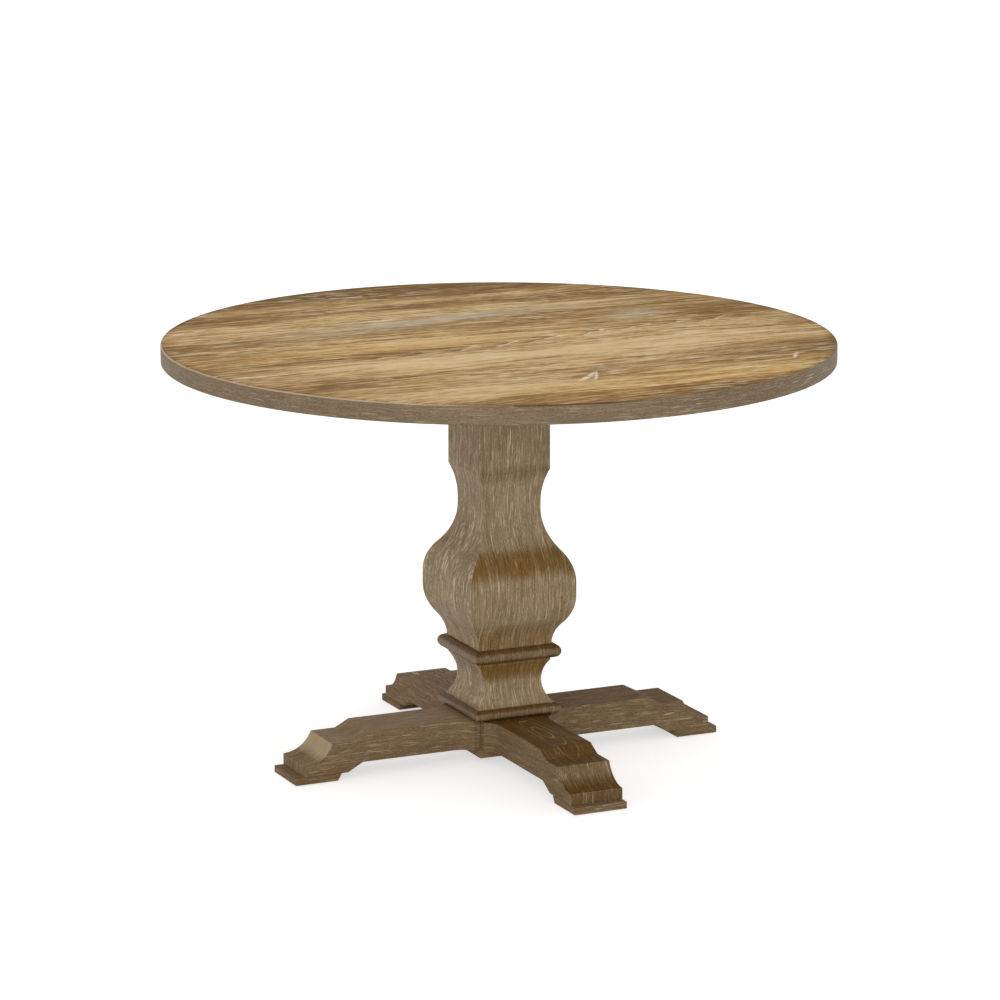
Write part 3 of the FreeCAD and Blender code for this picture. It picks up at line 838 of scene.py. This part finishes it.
# %% Painted shade, light and highlight round the rim
HIGHLIGHT_SIDE = Vector((-0.966, -0.259, 0.0))
HIGHLIGHT_FROM = 0.6
LIGHTER_SIDE = Vector((0.574, -0.819, 0.0))
RIM_LIGHT = 0.7
UPWARD = 0.2


def rim_shade_and_light(point, normal):
    """Painted light on one side of the rim, and painted shade on its round-over, which gives way
    to a painted highlight on another side.
    """
    lightened = eased(point.dot(LIGHTER_SIDE) / band_radius, 0.72, 0.95)
    if normal.z < UPWARD:
        return -RIM_LIGHT * lightened
    highlighted = eased(point.dot(HIGHLIGHT_SIDE) / band_radius, HIGHLIGHT_FROM, 0.85)
    return (1 - highlighted) * (1 - lightened)


painted_shade_light_and_glaze(band, rim_shade_and_light)
shade(band, 32)
hand_over(band, "edge_band")

# %% [markdown]
# ## The face veneer
# The face is a thin disc.  One face with 256 sides would shade and bake badly, so the circle
# is inset in a few rings and closed in the middle before it gets its thickness.

# %% Inset a disc in rings
FACE_RINGS = 5
face = start_circle("oak_face_veneer", face_radius, veneer_low.z, "NGON")
for _ in range(FACE_RINGS):
    bpy.ops.mesh.inset(thickness=face_radius / (FACE_RINGS + 1), use_even_offset=True)
bpy.ops.mesh.poke()
raise_up(veneer_low.z, veneer_high.z)
shade(face, 30)
hand_over(face, "top_face_veneer")

# %% [markdown]
# # Finishes
# Limed oak is stained brown, and a pale wax is rubbed into its open pores.  So every oak
# finish here is the same recipe: a tone from broad bands, streaks and growth rings, a brown
# tint for the painted shade, and on the pads their glaze, where the piece stores it, and pale
# dashes for the filled pores.  A material is a tree of nodes.  A new node goes into the tree
# that its inputs are in, so only the first node of a pattern has to be told its tree.


# %% Helpers for material nodes
def paint(red, green, blue):
    """A colour as a painter would read it off a chart, from 0 to 255, made linear."""
    linear = []
    for value in (red, green, blue):
        share = value / 255
        linear.append(share / 12.92 if share <= 0.04045 else ((share + 0.055) / 1.055) ** 2.4)
    return (*linear, 1.0)


def add(kind, inputs, tree=None, **settings):
    """A node with these settings.  Each input is linked to a socket or set to a value."""
    linked = {key: value for key, value in inputs.items()
              if isinstance(value, bpy.types.NodeSocket)}
    if tree is None:
        tree = next(iter(linked.values())).id_data
    node = tree.nodes.new(kind)
    for name, value in settings.items():
        setattr(node, name, value)
    for key, value in inputs.items():
        if key in linked:
            tree.links.new(value, node.inputs[key])
        else:
            node.inputs[key].default_value = value
    return node


def calculate(operation, first, second=0.0):
    """One step of arithmetic."""
    return add("ShaderNodeMath", {0: first, 1: second}, operation=operation).outputs[0]


def times(first, *others):
    """The product of these."""
    for other in others:
        first = calculate("MULTIPLY", first, other)
    return first


def most(first, *others):
    """The largest of these."""
    for other in others:
        first = calculate("MAXIMUM", first, other)
    return first


def added(base, part, strength):
    """The base plus the part times its strength."""
    return add("ShaderNodeMath", {0: part, 1: strength, 2: base},
               operation="MULTIPLY_ADD").outputs[0]


def swing(pattern):
    """A pattern from 0 to 1, moved to swing about zero."""
    return calculate("SUBTRACT", pattern, 0.5)


def ranged(value, low, high, start=0.0, end=1.0):
    """Map low to start and high to end, and stop there."""
    node = add("ShaderNodeMapRange", {0: value, 1: low, 2: high, 3: start, 4: end})
    return node.outputs[0]


def blend(share, first, second, kind="MIX"):
    """Mix two colours."""
    node = add("ShaderNodeMix", {0: share, 6: first, 7: second},
               data_type="RGBA", blend_type=kind)
    return node.outputs[2]


def ramp(value, stops):
    """A colour ramp through (place, colour) stops."""
    node = add("ShaderNodeValToRGB", {0: value})
    elements = node.color_ramp.elements
    while len(elements) < len(stops):
        elements.new(0.5)
    for element, (place, colour) in zip(elements, stops):
        element.position = place
        element.color = colour
    return node.outputs[0]


# %% [markdown]
# ## Grain, threads and pores
# Noise that is squeezed across the grain and drawn out along it is the base of all wood.
# The growth rings are contour lines of one very smooth, long noise: where the noise has a
# hill, the contours close into the long nested loops of a flat-sawn board.  The open pores
# that hold the wax are the thin high places of a very fine noise, and short dashes drawn out
# of the cells of a Voronoi pattern.  Seed moves each layer to a part of the noise of its own.


# %% Noise along the grain
def stretched(grain, along, across, seed):
    """The grain coordinate, scaled along and across, and moved away from the other layers."""
    return add("ShaderNodeMapping",
               {0: grain, 1: (1.7 * seed, 2.9 * seed, 0.8 * seed), 3: (along, across, across)}
               ).outputs[0]


def noise(grain, along, across, seed, detail=3.0, rough=0.6):
    """Raw noise that is drawn out along the grain, mostly 0.3 to 0.7."""
    return add("ShaderNodeTexNoise",
               {"Vector": stretched(grain, along, across, seed), "Scale": 1.0,
                "Detail": detail, "Roughness": rough}).outputs[0]


def layer(grain, along, across, seed, detail=3.0):
    """The same noise, spread to fill 0 to 1."""
    return ranged(noise(grain, along, across, seed, detail), 0.3, 0.7)


def wandering(grain, amount):
    """Let the grain wander gently from side to side."""
    sway = swing(noise(grain, 1.6, 5.0, 9, detail=1.0))
    shift = add("ShaderNodeCombineXYZ", {1: times(sway, amount)}).outputs[0]
    return add("ShaderNodeVectorMath", {0: grain, 1: shift}, operation="ADD").outputs[0]


# %% Rings, threads and dashes
DASH_THICK = 0.3
DASH_CORE = 0.55


def growth_rings(grain, along, across, count, seed):
    """Contour lines of a smooth long noise, 0 to 1 and back over each ring."""
    hills = noise(grain, along, across, seed, detail=1.0, rough=0.35)
    turns = times(hills, count * 2 * math.pi)
    return ranged(calculate("SINE", turns), -1.0, 1.0)


def threads(grain, along, across, start, full, seed):
    """Thin pale threads of wax along the grain."""
    return ranged(noise(grain, along, across, seed, detail=2.5), start, full)


def dashes(grain, along, across, share, seed):
    """Pale dashes in a share of the cells of a drawn-out Voronoi pattern."""
    cells = add("ShaderNodeTexVoronoi",
                {"Vector": stretched(grain, along, across, seed), "Scale": 1.0})
    inside = ranged(cells.outputs["Distance"], DASH_THICK, DASH_THICK * DASH_CORE)
    lucky = add("ShaderNodeSeparateColor", {0: cells.outputs["Color"]}).outputs[0]
    return times(inside, calculate("LESS_THAN", lucky, share))


# %% Patches and loops placed one by one
def oval(grain, centre, half, turn=0.0):
    """How far out a place lies in an oval of this half size: 1 at its edge."""
    moved = add("ShaderNodeMapping",
                {0: grain, 1: (*centre, 0.0), 2: (0.0, 0.0, math.radians(turn)),
                 3: (*half, 1.0)}, vector_type="TEXTURE").outputs[0]
    flat = add("ShaderNodeVectorMath", {0: moved, 1: (1.0, 1.0, 0.0)},
               operation="MULTIPLY").outputs[0]
    return add("ShaderNodeVectorMath", {0: flat}, operation="LENGTH").outputs["Value"]


def patch(grain, centre, half, turn=0.0, soft=1.0):
    """An oval patch, 1 in the middle and 0 from its edge outwards."""
    return ranged(oval(grain, centre, half, turn), 1.0, 1.0 - soft)


def patches(grain, places):
    """The strongest of several patches."""
    return most(*(patch(grain, *place) for place in places))


def looped(grain, centre, half):
    """Pale lines in a few nested loops, drawn out along the grain."""
    far = oval(grain, centre, half)
    wobble = swing(noise(grain, 9.0, 60.0, 91))
    rings = calculate("FRACT", added(times(far, 2.2), wobble, 1.0))
    broken = ranged(noise(grain, 20.0, 80.0, 92), 0.35, 0.5)
    return times(ranged(rings, 0.82, 0.9), ranged(far, 1.5, 1.2), broken)


# %% A tone out of many patterns
def stacked(parts):
    """A tone around one half, from (pattern, strength) parts."""
    tone = 0.5
    for pattern, strength in parts:
        tone = added(tone, swing(pattern), strength)
    return tone


# %% [markdown]
# ## One recipe for every oak finish
# The tone picks a colour from three stains.  Over it lies the painted shade that the piece
# stores, and on a pad its glaze, broken up by two noises so that it ends in streaks, and it
# multiplies the colour by a brown tint.  The pores are brushed with pale wax, more of it where
# the piece stores painted light.  The wax also fills them, so they change the relief and the
# sheen a little.

# %% Painted shade and light in the recipe
SHADE_AND_GLAZE_TINT = (0.55, 0.41, 0.175, 1.0)
LIGHT_VEIL = 0.55


def streaked_shade_and_light(grain, seed):
    """How dark the painted shade lies, how much more wax there is as painted light, and how
    strong the pale veil of painted light is.
    """
    stored = add("ShaderNodeAttribute", {}, grain.id_data, attribute_name="painted_shade_light_and_glaze").outputs["Fac"]
    uneven = swing(layer(grain, 14.0, 90.0, seed + 9))
    brushed = swing(layer(grain, 10.0, 280.0, seed + 10))
    darkened = added(added(stored, uneven, 0.4), brushed, 0.45)
    return (ranged(darkened, 0.22, 1.0), ranged(stored, 0.0, -1.0),
            ranged(stored, -1.0, -2.0, 0.0, LIGHT_VEIL))


def filled_pores(grain, painted_light, thread, dash, loops, seed):
    """Where pale wax shows: in threads, in dashes, and in the lines of a nested figure."""
    crowded = layer(grain, 6.0, 40.0, seed + 6)
    lines = times(threads(grain, 24.0, 400.0, 0.58, 0.68, seed + 7),
                  ranged(crowded, 0.0, 1.0, 0.15, 1.2),
                  ranged(painted_light, 0.0, 1.0, thread, 1.3))
    lucky = added(ranged(crowded, 0.0, 1.0, 0.1, 0.5), painted_light, 0.5)
    flecks = times(dashes(grain, 44.0, 520.0, lucky, seed + 8), dash)
    filled = most(lines, flecks)
    if loops:
        filled = most(filled, looped(grain, *loops))
    return ranged(filled, 0.0, 1.0)


# %% Start a material and wire its shader
OAK_RELIEF = 0.0004


def new_material(name):
    """A material with its shader ready, and its node tree."""
    material = bpy.data.materials.new(name)
    material.use_nodes = True
    return material, material.node_tree


def grain_source(tree, mapped):
    """The piece's own grain map, or plain object space where the grain runs along X."""
    if mapped:
        return add("ShaderNodeUVMap", {}, tree, uv_map="grain").outputs[0]
    return add("ShaderNodeTexCoord", {}, tree).outputs["Object"]


def wire(colour, rough, height, strength, relief):
    """Link colour, roughness and relief to the shader, and return it."""
    tree = colour.id_data
    shader = tree.nodes["Principled BSDF"]
    bump = add("ShaderNodeBump", {"Strength": strength, "Distance": relief, "Height": height})
    tree.links.new(colour, shader.inputs["Base Color"])
    tree.links.new(rough, shader.inputs["Roughness"])
    tree.links.new(bump.outputs[0], shader.inputs["Normal"])
    return shader


def finish_oak(colour, filled, tone, rough, sheen):
    """Worn wood is smoother, and wax makes it a little rougher and fills its pores."""
    worn = ranged(tone, 0.0, 1.0, rough + 0.08, rough - 0.08)
    dulled = calculate("ADD", worn, times(filled, 0.12))
    shader = wire(colour, dulled, calculate("SUBTRACT", tone, filled), 0.5, OAK_RELIEF)
    shader.inputs["Specular IOR Level"].default_value = sheen


# %% The oak recipe
WANDER = 0.02
GRIT = 0.4
RINGS = 0.06


def limed_oak(name, stains, wax, mapped=True, bands=0.08, streaks=0.12, fibres=0.35,
              thread=0.7, dash=0.6, rough=0.6, sheen=0.22, loops=None, seed=1):
    """A stained and limed oak.  Loops is the centre and half size of a nested figure."""
    material, tree = new_material(name)
    grain = wandering(grain_source(tree, mapped), WANDER)
    tone = stacked((
        (layer(grain, 1.2, 14.0, seed + 1), bands),
        (layer(grain, 7.0, 120.0, seed + 2), streaks),
        (layer(grain, 30.0, 420.0, seed + 3), fibres),
        (layer(grain, 200.0, 520.0, seed + 4, detail=1.0), GRIT),
        (growth_rings(grain, 1.4, 9.0, 5.0, seed + 5), RINGS)))
    dark, middle, light, pale = (paint(*values) for values in (*stains, wax))
    colour = ramp(tone, ((0.1, dark), (0.5, middle), (0.9, light)))
    darkened, painted_light, veil_of_light = streaked_shade_and_light(grain, seed)
    colour = blend(veil_of_light, colour, pale)
    colour = blend(darkened, colour, SHADE_AND_GLAZE_TINT, "MULTIPLY")
    filled = filled_pores(grain, painted_light, thread, dash, loops, seed)
    colour = blend(filled, colour, blend(darkened, pale, SHADE_AND_GLAZE_TINT, "MULTIPLY"))
    finish_oak(colour, filled, tone, rough, sheen)
    return material


# %% [markdown]
# The front foot shows a nested figure near the hub.  It lies on the part of the grain map
# that the third quarter turn gave that foot, so it appears on no other.

# %% Oak finishes of the base
FRONT = SIDES.index("front")
LOOP_ALONG = FRONT * ALONG_STEP + 0.55 * (STEP_IN - hub_half)
LOOP_ACROSS = FRONT * ACROSS_STEP + 0.004
LOOP_HALF = (0.100, 0.021)
turned_oak = limed_oak(
    "limed_oak_column",
    stains=((127, 108, 81), (161, 140, 110), (191, 171, 140)),
    wax=(238, 220, 186), fibres=0.5, thread=0.85, dash=0.7)
leg_oak = limed_oak(
    "limed_oak_leg",
    stains=((99, 79, 55), (130, 107, 79), (155, 132, 101)),
    wax=(204, 183, 148), streaks=0.08, fibres=0.4, dash=0.35, sheen=0.07,
    loops=((LOOP_ALONG, LOOP_ACROSS), LOOP_HALF), seed=11)
mould_oak = limed_oak(
    "limed_oak_bead",
    stains=((98, 78, 54), (126, 104, 77), (152, 130, 101)),
    wax=(184, 162, 128), bands=0.05, streaks=0.1, rough=0.4, sheen=0.15, seed=21)
# The paler arris oak: partly wear and partly a painted highlight.
arris_oak = limed_oak(
    "limed_oak_arris",
    stains=((140, 116, 80), (168, 143, 106), (188, 164, 126)),
    wax=(204, 182, 146), seed=41)

# %% Oak finishes of the rim and of hidden wood
edge_oak = limed_oak(
    "limed_oak_edge",
    stains=((104, 86, 62), (130, 111, 86), (152, 133, 107)),
    wax=(184, 166, 136), seed=31)
# A pale painted highlight for the round-over on one side of the rim.
highlight_oak = limed_oak(
    "limed_oak_painted_highlight",
    stains=((166, 144, 114), (188, 165, 134), (206, 184, 154)),
    wax=(218, 198, 168), seed=61)
hidden_oak = limed_oak(
    "plain_oak_underside",
    stains=((120, 92, 60), (150, 120, 84), (172, 142, 104)),
    wax=(190, 164, 128), mapped=False, seed=51)

# %% [markdown]
# ## The face of the top
# The face is the showpiece: broad warm bands from side to side, a cathedral figure near the
# middle, white wax in the larger pores, a greyed streak and two small knots.  Bands and
# patches that an eye would look for are placed one by one, and noise roughens their edges.

# %% Broad bands from front to back
BAND_TONES = (
    (-0.600, 0.30), (-0.515, 0.38), (-0.430, 0.88), (-0.330, 0.38), (-0.250, 0.46),
    (-0.165, 0.90), (-0.075, 0.40), (0.020, 0.78), (0.060, 0.62), (0.130, 0.34),
    (0.290, 0.85), (0.350, 0.34), (0.440, 0.80), (0.530, 0.22), (0.600, 0.10))
FACE_SPAN = 0.62


def band_tone(grain):
    """The broad tone of the veneer from front to back."""
    across = add("ShaderNodeSeparateXYZ", {0: grain}).outputs[1]
    stops = [((place / FACE_SPAN + 1) / 2, (tone, tone, tone, 1.0))
             for place, tone in BAND_TONES]
    return ramp(ranged(across, -FACE_SPAN, FACE_SPAN), stops)


# %% [markdown]
# A cathedral figure is a row of nested points.  Their phase grows along the grain and with
# the distance from an axis, so each line of equal phase is a point.  The axis runs a little
# askew, and the pale lines are strongest to the right of the middle.

# %% The cathedral figure
AXIS_START = -0.028
AXIS_SLOPE = 0.17
POINT_LENGTH = 2.6
POINTS_PER_METRE = 10.5
FIGURE_AREA = ((0.06, 0.0), (0.52, 0.2), 0.0, 0.3)
PALE_AREA = ((0.22, 0.0), (0.46, 0.25), 0.0, 0.4)


def cathedral(grain, seed):
    """A row of nested points towards +X: (dark inside each point, pale line at its edge)."""
    parts = add("ShaderNodeSeparateXYZ", {0: grain}).outputs
    axis = added(AXIS_START, parts[0], AXIS_SLOPE)
    aside = calculate("ABSOLUTE", calculate("SUBTRACT", parts[1], axis))
    nested = calculate("ADD", parts[0], times(aside, POINT_LENGTH))
    wobble = noise(grain, 6.0, 40.0, seed)
    phase = added(times(nested, POINTS_PER_METRE), wobble, 1.4)
    saw = calculate("FRACT", phase)
    near = times(ranged(aside, 0.045, 0.012), patch(grain, *FIGURE_AREA))
    inside = times(ranged(saw, 0.35, 0.9), near)
    pale = times(near, patch(grain, *PALE_AREA))
    return inside, times(ranged(saw, 0.85, 0.89), pale)


# %% [markdown]
# A patch is told by its centre, its half size, its turn in degrees, and how much of it is
# soft edge.

# %% Patches on the face
BROWNED = ((0.34, 0.03), (0.34, 0.06), 9.0)
GOLDEN = (((-0.2, 0.0), (0.5, 0.07)), ((0.16, -0.47), (0.6, 0.15), 4.0))
GREYED = (((0.0, 0.222), (0.5, 0.055), 8.0, 0.8), ((0.34, 0.13), (0.10, 0.045), 20.0, 0.8))
KNOTS = (((-0.012, -0.368), (0.058, 0.007), 45.0, 0.5),
         ((0.006, -0.366), (0.052, 0.004), 62.0, 0.6),
         ((0.405, -0.362), (0.028, 0.005), 55.0, 0.5))
KNOT_SHADOW = ((0.02, -0.335), (0.075, 0.032), 35.0)
# Painted shade: the face darkens towards its rim, and once more in a thin ring along its edge.
SHADED_OUTWARDS = ((0.0, 0.0), (0.63, 0.63), 0.0, 0.45)
INSIDE_EDGE = ((0.0, 0.0), (0.604, 0.604), 0.0, 0.035)


# %% The tone of the face
def face_tone(grain, inside):
    """How light or dark the veneer is, before it gets its colour."""
    tone = stacked((
        (band_tone(grain), 0.7),
        (layer(grain, 0.9, 5.0, 61, detail=2.0), 0.35),
        (layer(grain, 1.2, 18.0, 62), 0.25),
        (layer(grain, 2.6, 48.0, 63, detail=2.0), 0.25),
        (layer(grain, 6.0, 110.0, 68, detail=2.0), 0.5),
        (layer(grain, 16.0, 260.0, 64, detail=2.0), 0.62),
        (layer(grain, 60.0, 640.0, 75, detail=1.0), 0.4),
        # painted shade, darker towards the rim
        (patch(grain, *SHADED_OUTWARDS), 0.3),
        (growth_rings(grain, 0.8, 6.0, 7.0, 65), RINGS)))
    tone = added(tone, inside, -0.42)
    tone = added(tone, patch(grain, *BROWNED), -0.22)
    # Painted shade in a thin ring along the edge of the face.
    middle = patch(grain_source(grain.id_data, mapped=False), *INSIDE_EDGE)
    return added(tone, calculate("SUBTRACT", 1.0, middle), -0.3)


# %% The pores of the face
def face_pores(grain, greyed, line):
    """Where white wax shows: in threads, coarse dashes, the pale points and the knots."""
    clusters = layer(grain, 3.0, 12.0, 74, detail=1.0)
    crowded = ranged(most(clusters, greyed), 0.3, 0.9, 0.15, 1.0)
    fine = times(crowded, threads(grain, 16.0, 130.0, 0.57, 0.64, 67), 0.7)
    lucky = ranged(clusters, 0.3, 1.0, 0.03, 0.35)
    coarse = times(dashes(grain, 16.0, 150.0, lucky, 69), 0.8)
    broken = ranged(noise(grain, 50.0, 90.0, 73), 0.38, 0.48)
    knots = times(patches(grain, KNOTS), broken)
    return most(fine, coarse, times(line, 0.9), knots)


# %% The face finish
def oak_face():
    """The limed oak of the tabletop."""
    material, tree = new_material("limed_oak_face")
    grain = wandering(grain_source(tree, mapped=False), 0.07)
    inside, line = cathedral(grain, 66)
    tone = face_tone(grain, inside)
    colour = ramp(tone, (
        (0.1, paint(116, 82, 36)), (0.38, paint(150, 113, 58)),
        (0.64, paint(187, 149, 88)), (0.95, paint(228, 196, 140))))
    golden = times(patches(grain, GOLDEN), 0.5)
    colour = blend(golden, colour, paint(198, 162, 88), "SOFT_LIGHT")
    greyed = patches(grain, GREYED)
    silver = times(greyed, layer(grain, 9.0, 180.0, 72))
    colour = blend(silver, colour, paint(196, 186, 164))
    shadow = times(patch(grain, *KNOT_SHADOW), 0.6)
    colour = blend(shadow, colour, paint(118, 84, 46))
    filled = face_pores(grain, greyed, line)
    colour = blend(filled, colour, paint(240, 226, 194))
    finish_oak(colour, filled, tone, 0.6, 0.1)
    return material


face_oak = oak_face()
print(f"{len(bpy.data.materials)} materials so far")

# %% [markdown]
# ## Steel, nylon and core board
# The pieces that hold the table together show only from below: zinc-plated screws, nuts and
# washers, nylon glides, and the edge of a particle board core.


# %% Plainer finishes
def speckled(name, first, second, scale, metallic, rough, relief):
    """A finish with a fine speckle in colour and relief."""
    material, tree = new_material(name)
    speckle = add("ShaderNodeTexNoise",
                  {"Vector": grain_source(tree, mapped=False), "Scale": scale,
                   "Detail": 4.0, "Roughness": 0.7}).outputs[0]
    share = ranged(speckle, 0.35, 0.65)
    shader = wire(blend(share, first, second),
                  ranged(share, 0.0, 1.0, rough - 0.08, rough + 0.08), speckle, 0.4, relief)
    shader.inputs["Metallic"].default_value = metallic
    return material


zinc = speckled("zinc_steel", paint(168, 170, 172), paint(196, 197, 196),
                scale=900.0, metallic=1.0, rough=0.35, relief=0.0001)
nylon = speckled("nylon_glide", paint(214, 210, 200), paint(228, 225, 217),
                 scale=700.0, metallic=0.0, rough=0.5, relief=0.0001)
core = speckled("core_board", paint(150, 118, 78), paint(196, 166, 122),
                scale=420.0, metallic=0.0, rough=0.8, relief=0.0006)
beech = limed_oak("beech_dowel",
                  stains=((176, 138, 96), (198, 162, 118), (214, 182, 140)),
                  wax=(206, 172, 128), mapped=False, seed=71)


# %% [markdown]
# ## Hand out the finishes
# A piece that stays as it came from the frame gets its finish in the material slot of its
# object.  A new piece has two slots: its wood, and the paler arris that the bevels use, partly
# wear and partly a painted highlight.  The band has no arris but three woods: the rim, the
# veneer's finish on its flat top, so that the face runs on to the edge, and a pale painted
# highlight on one side's round-over.


# %% Coat the new pieces
def coat(piece, *materials):
    """Give a piece these materials, slot by slot."""
    piece.data.materials.clear()
    for material in materials:
        piece.data.materials.append(material)


for piece in (column, waist):
    coat(piece, turned_oak, arris_oak)
for piece in beads["oak_upper_bead"] + beads["oak_lower_bead"]:
    coat(piece, mould_oak, arris_oak)
for piece in feet + pads:
    coat(piece, leg_oak, arris_oak)
coat(face, face_oak)
coat(band, edge_oak, face_oak, highlight_oak)
FLAT_TOP = 0.95
# The flat top takes the face's finish, and the round-over on one side the painted highlight.
for polygon in band.data.polygons:
    highlighted = polygon.center.dot(HIGHLIGHT_SIDE) > HIGHLIGHT_FROM * band_radius
    if polygon.normal.z > FLAT_TOP:
        polygon.material_index = 1
    elif polygon.normal.z > UPWARD and highlighted:
        polygon.material_index = 2

# %% Finish the pieces that came from the frame
FRAME_FINISHES = {
    "oak_hidden": hidden_oak, "oak_leg": hidden_oak, "oak_turned": hidden_oak,
    "oak_mould": hidden_oak, "oak_edge": hidden_oak, "oak_face": hidden_oak,
    "core_board": core, "beech_dowel": beech, "zinc_steel": zinc, "nylon_glide": nylon}
for node in nodes.values():
    for slot in node.material_slots:
        slot.material = FRAME_FINISHES[slot.material.name.split(".")[0]]
print(f"{len(bpy.data.materials)} materials in all")

# %% [markdown]
# # The studio
# A pale floor and a soft white sky light the table from all round, and one wide, low lamp
# adds daylight on the sides that face the camera.  The floor looks white to the camera but
# still takes the table's shadow.

# %% The floor
FLOOR_SIZE = 120.0
FLOOR_LIFT = 0.6
only()
bpy.ops.mesh.primitive_plane_add(size=FLOOR_SIZE, location=(0, 0, cad_box[0].z))
floor = bpy.context.object
floor.name = "studio_floor"

floor_material, floor_tree = new_material("studio_floor")
floor_shader = floor_tree.nodes["Principled BSDF"]
floor_shader.inputs["Base Color"].default_value = (0.75, 0.75, 0.75, 1.0)
floor_shader.inputs["Roughness"].default_value = 1.0
floor_shader.inputs["Specular IOR Level"].default_value = 0.0
floor_rays = add("ShaderNodeLightPath", {}, floor_tree).outputs
seen = most(floor_rays["Is Glossy Ray"], floor_rays["Is Transmission Ray"],
            floor_rays["Is Camera Ray"])
floor_glow = add("ShaderNodeEmission",
                 {"Strength": times(seen, FLOOR_LIFT)})
floor_sum = add("ShaderNodeAddShader",
                {0: floor_shader.outputs[0], 1: floor_glow.outputs[0]})
floor_tree.links.new(floor_sum.outputs[0],
                     floor_tree.nodes["Material Output"].inputs["Surface"])
floor.data.materials.append(floor_material)

# %% The sky
SKY_STRENGTH = 0.72
world = bpy.data.worlds.new("studio_sky")
world.use_nodes = True
bpy.context.scene.world = world
sky_tree = world.node_tree
sky_rays = add("ShaderNodeLightPath", {}, sky_tree).outputs
sky_seen = most(sky_rays["Is Camera Ray"], sky_rays["Is Transmission Ray"])
sky_strength = ranged(sky_seen, 0.0, 1.0, SKY_STRENGTH, 1.0)
sky_tree.links.new(sky_strength, sky_tree.nodes["Background"].inputs["Strength"])
sky_tree.nodes["Background"].inputs["Color"].default_value = (1.0, 1.0, 1.0, 1.0)

# %% The lamp
lamp_data = bpy.data.lights.new("wide_daylight", "SUN")
lamp_data.energy = 1.0
lamp_data.angle = math.radians(60)
lamp = bpy.data.objects.new("wide_daylight", lamp_data)
from_lamp = Vector((0.45, 0.89, -0.14))
lamp.rotation_euler = from_lamp.to_track_quat("-Z", "Y").to_euler()
bpy.context.scene.collection.objects.link(lamp)

# %% [markdown]
# ## The camera
# A long lens from far off keeps the upright lines of the table nearly parallel.

# %% Camera
CAMERA_LENS = 155.7
CAMERA_AIM = Vector((0.0016, -0.0008, 0.469))
camera_data = bpy.data.cameras.new("camera")
camera_data.lens = CAMERA_LENS
camera = bpy.data.objects.new("camera", camera_data)
camera.location = (-3.183, -6.857, 2.159)
camera.rotation_euler = (CAMERA_AIM - camera.location).to_track_quat("-Z", "Y").to_euler()
bpy.context.scene.collection.objects.link(camera)
bpy.context.scene.camera = camera
bpy.context.scene.view_settings.view_transform = "Standard"
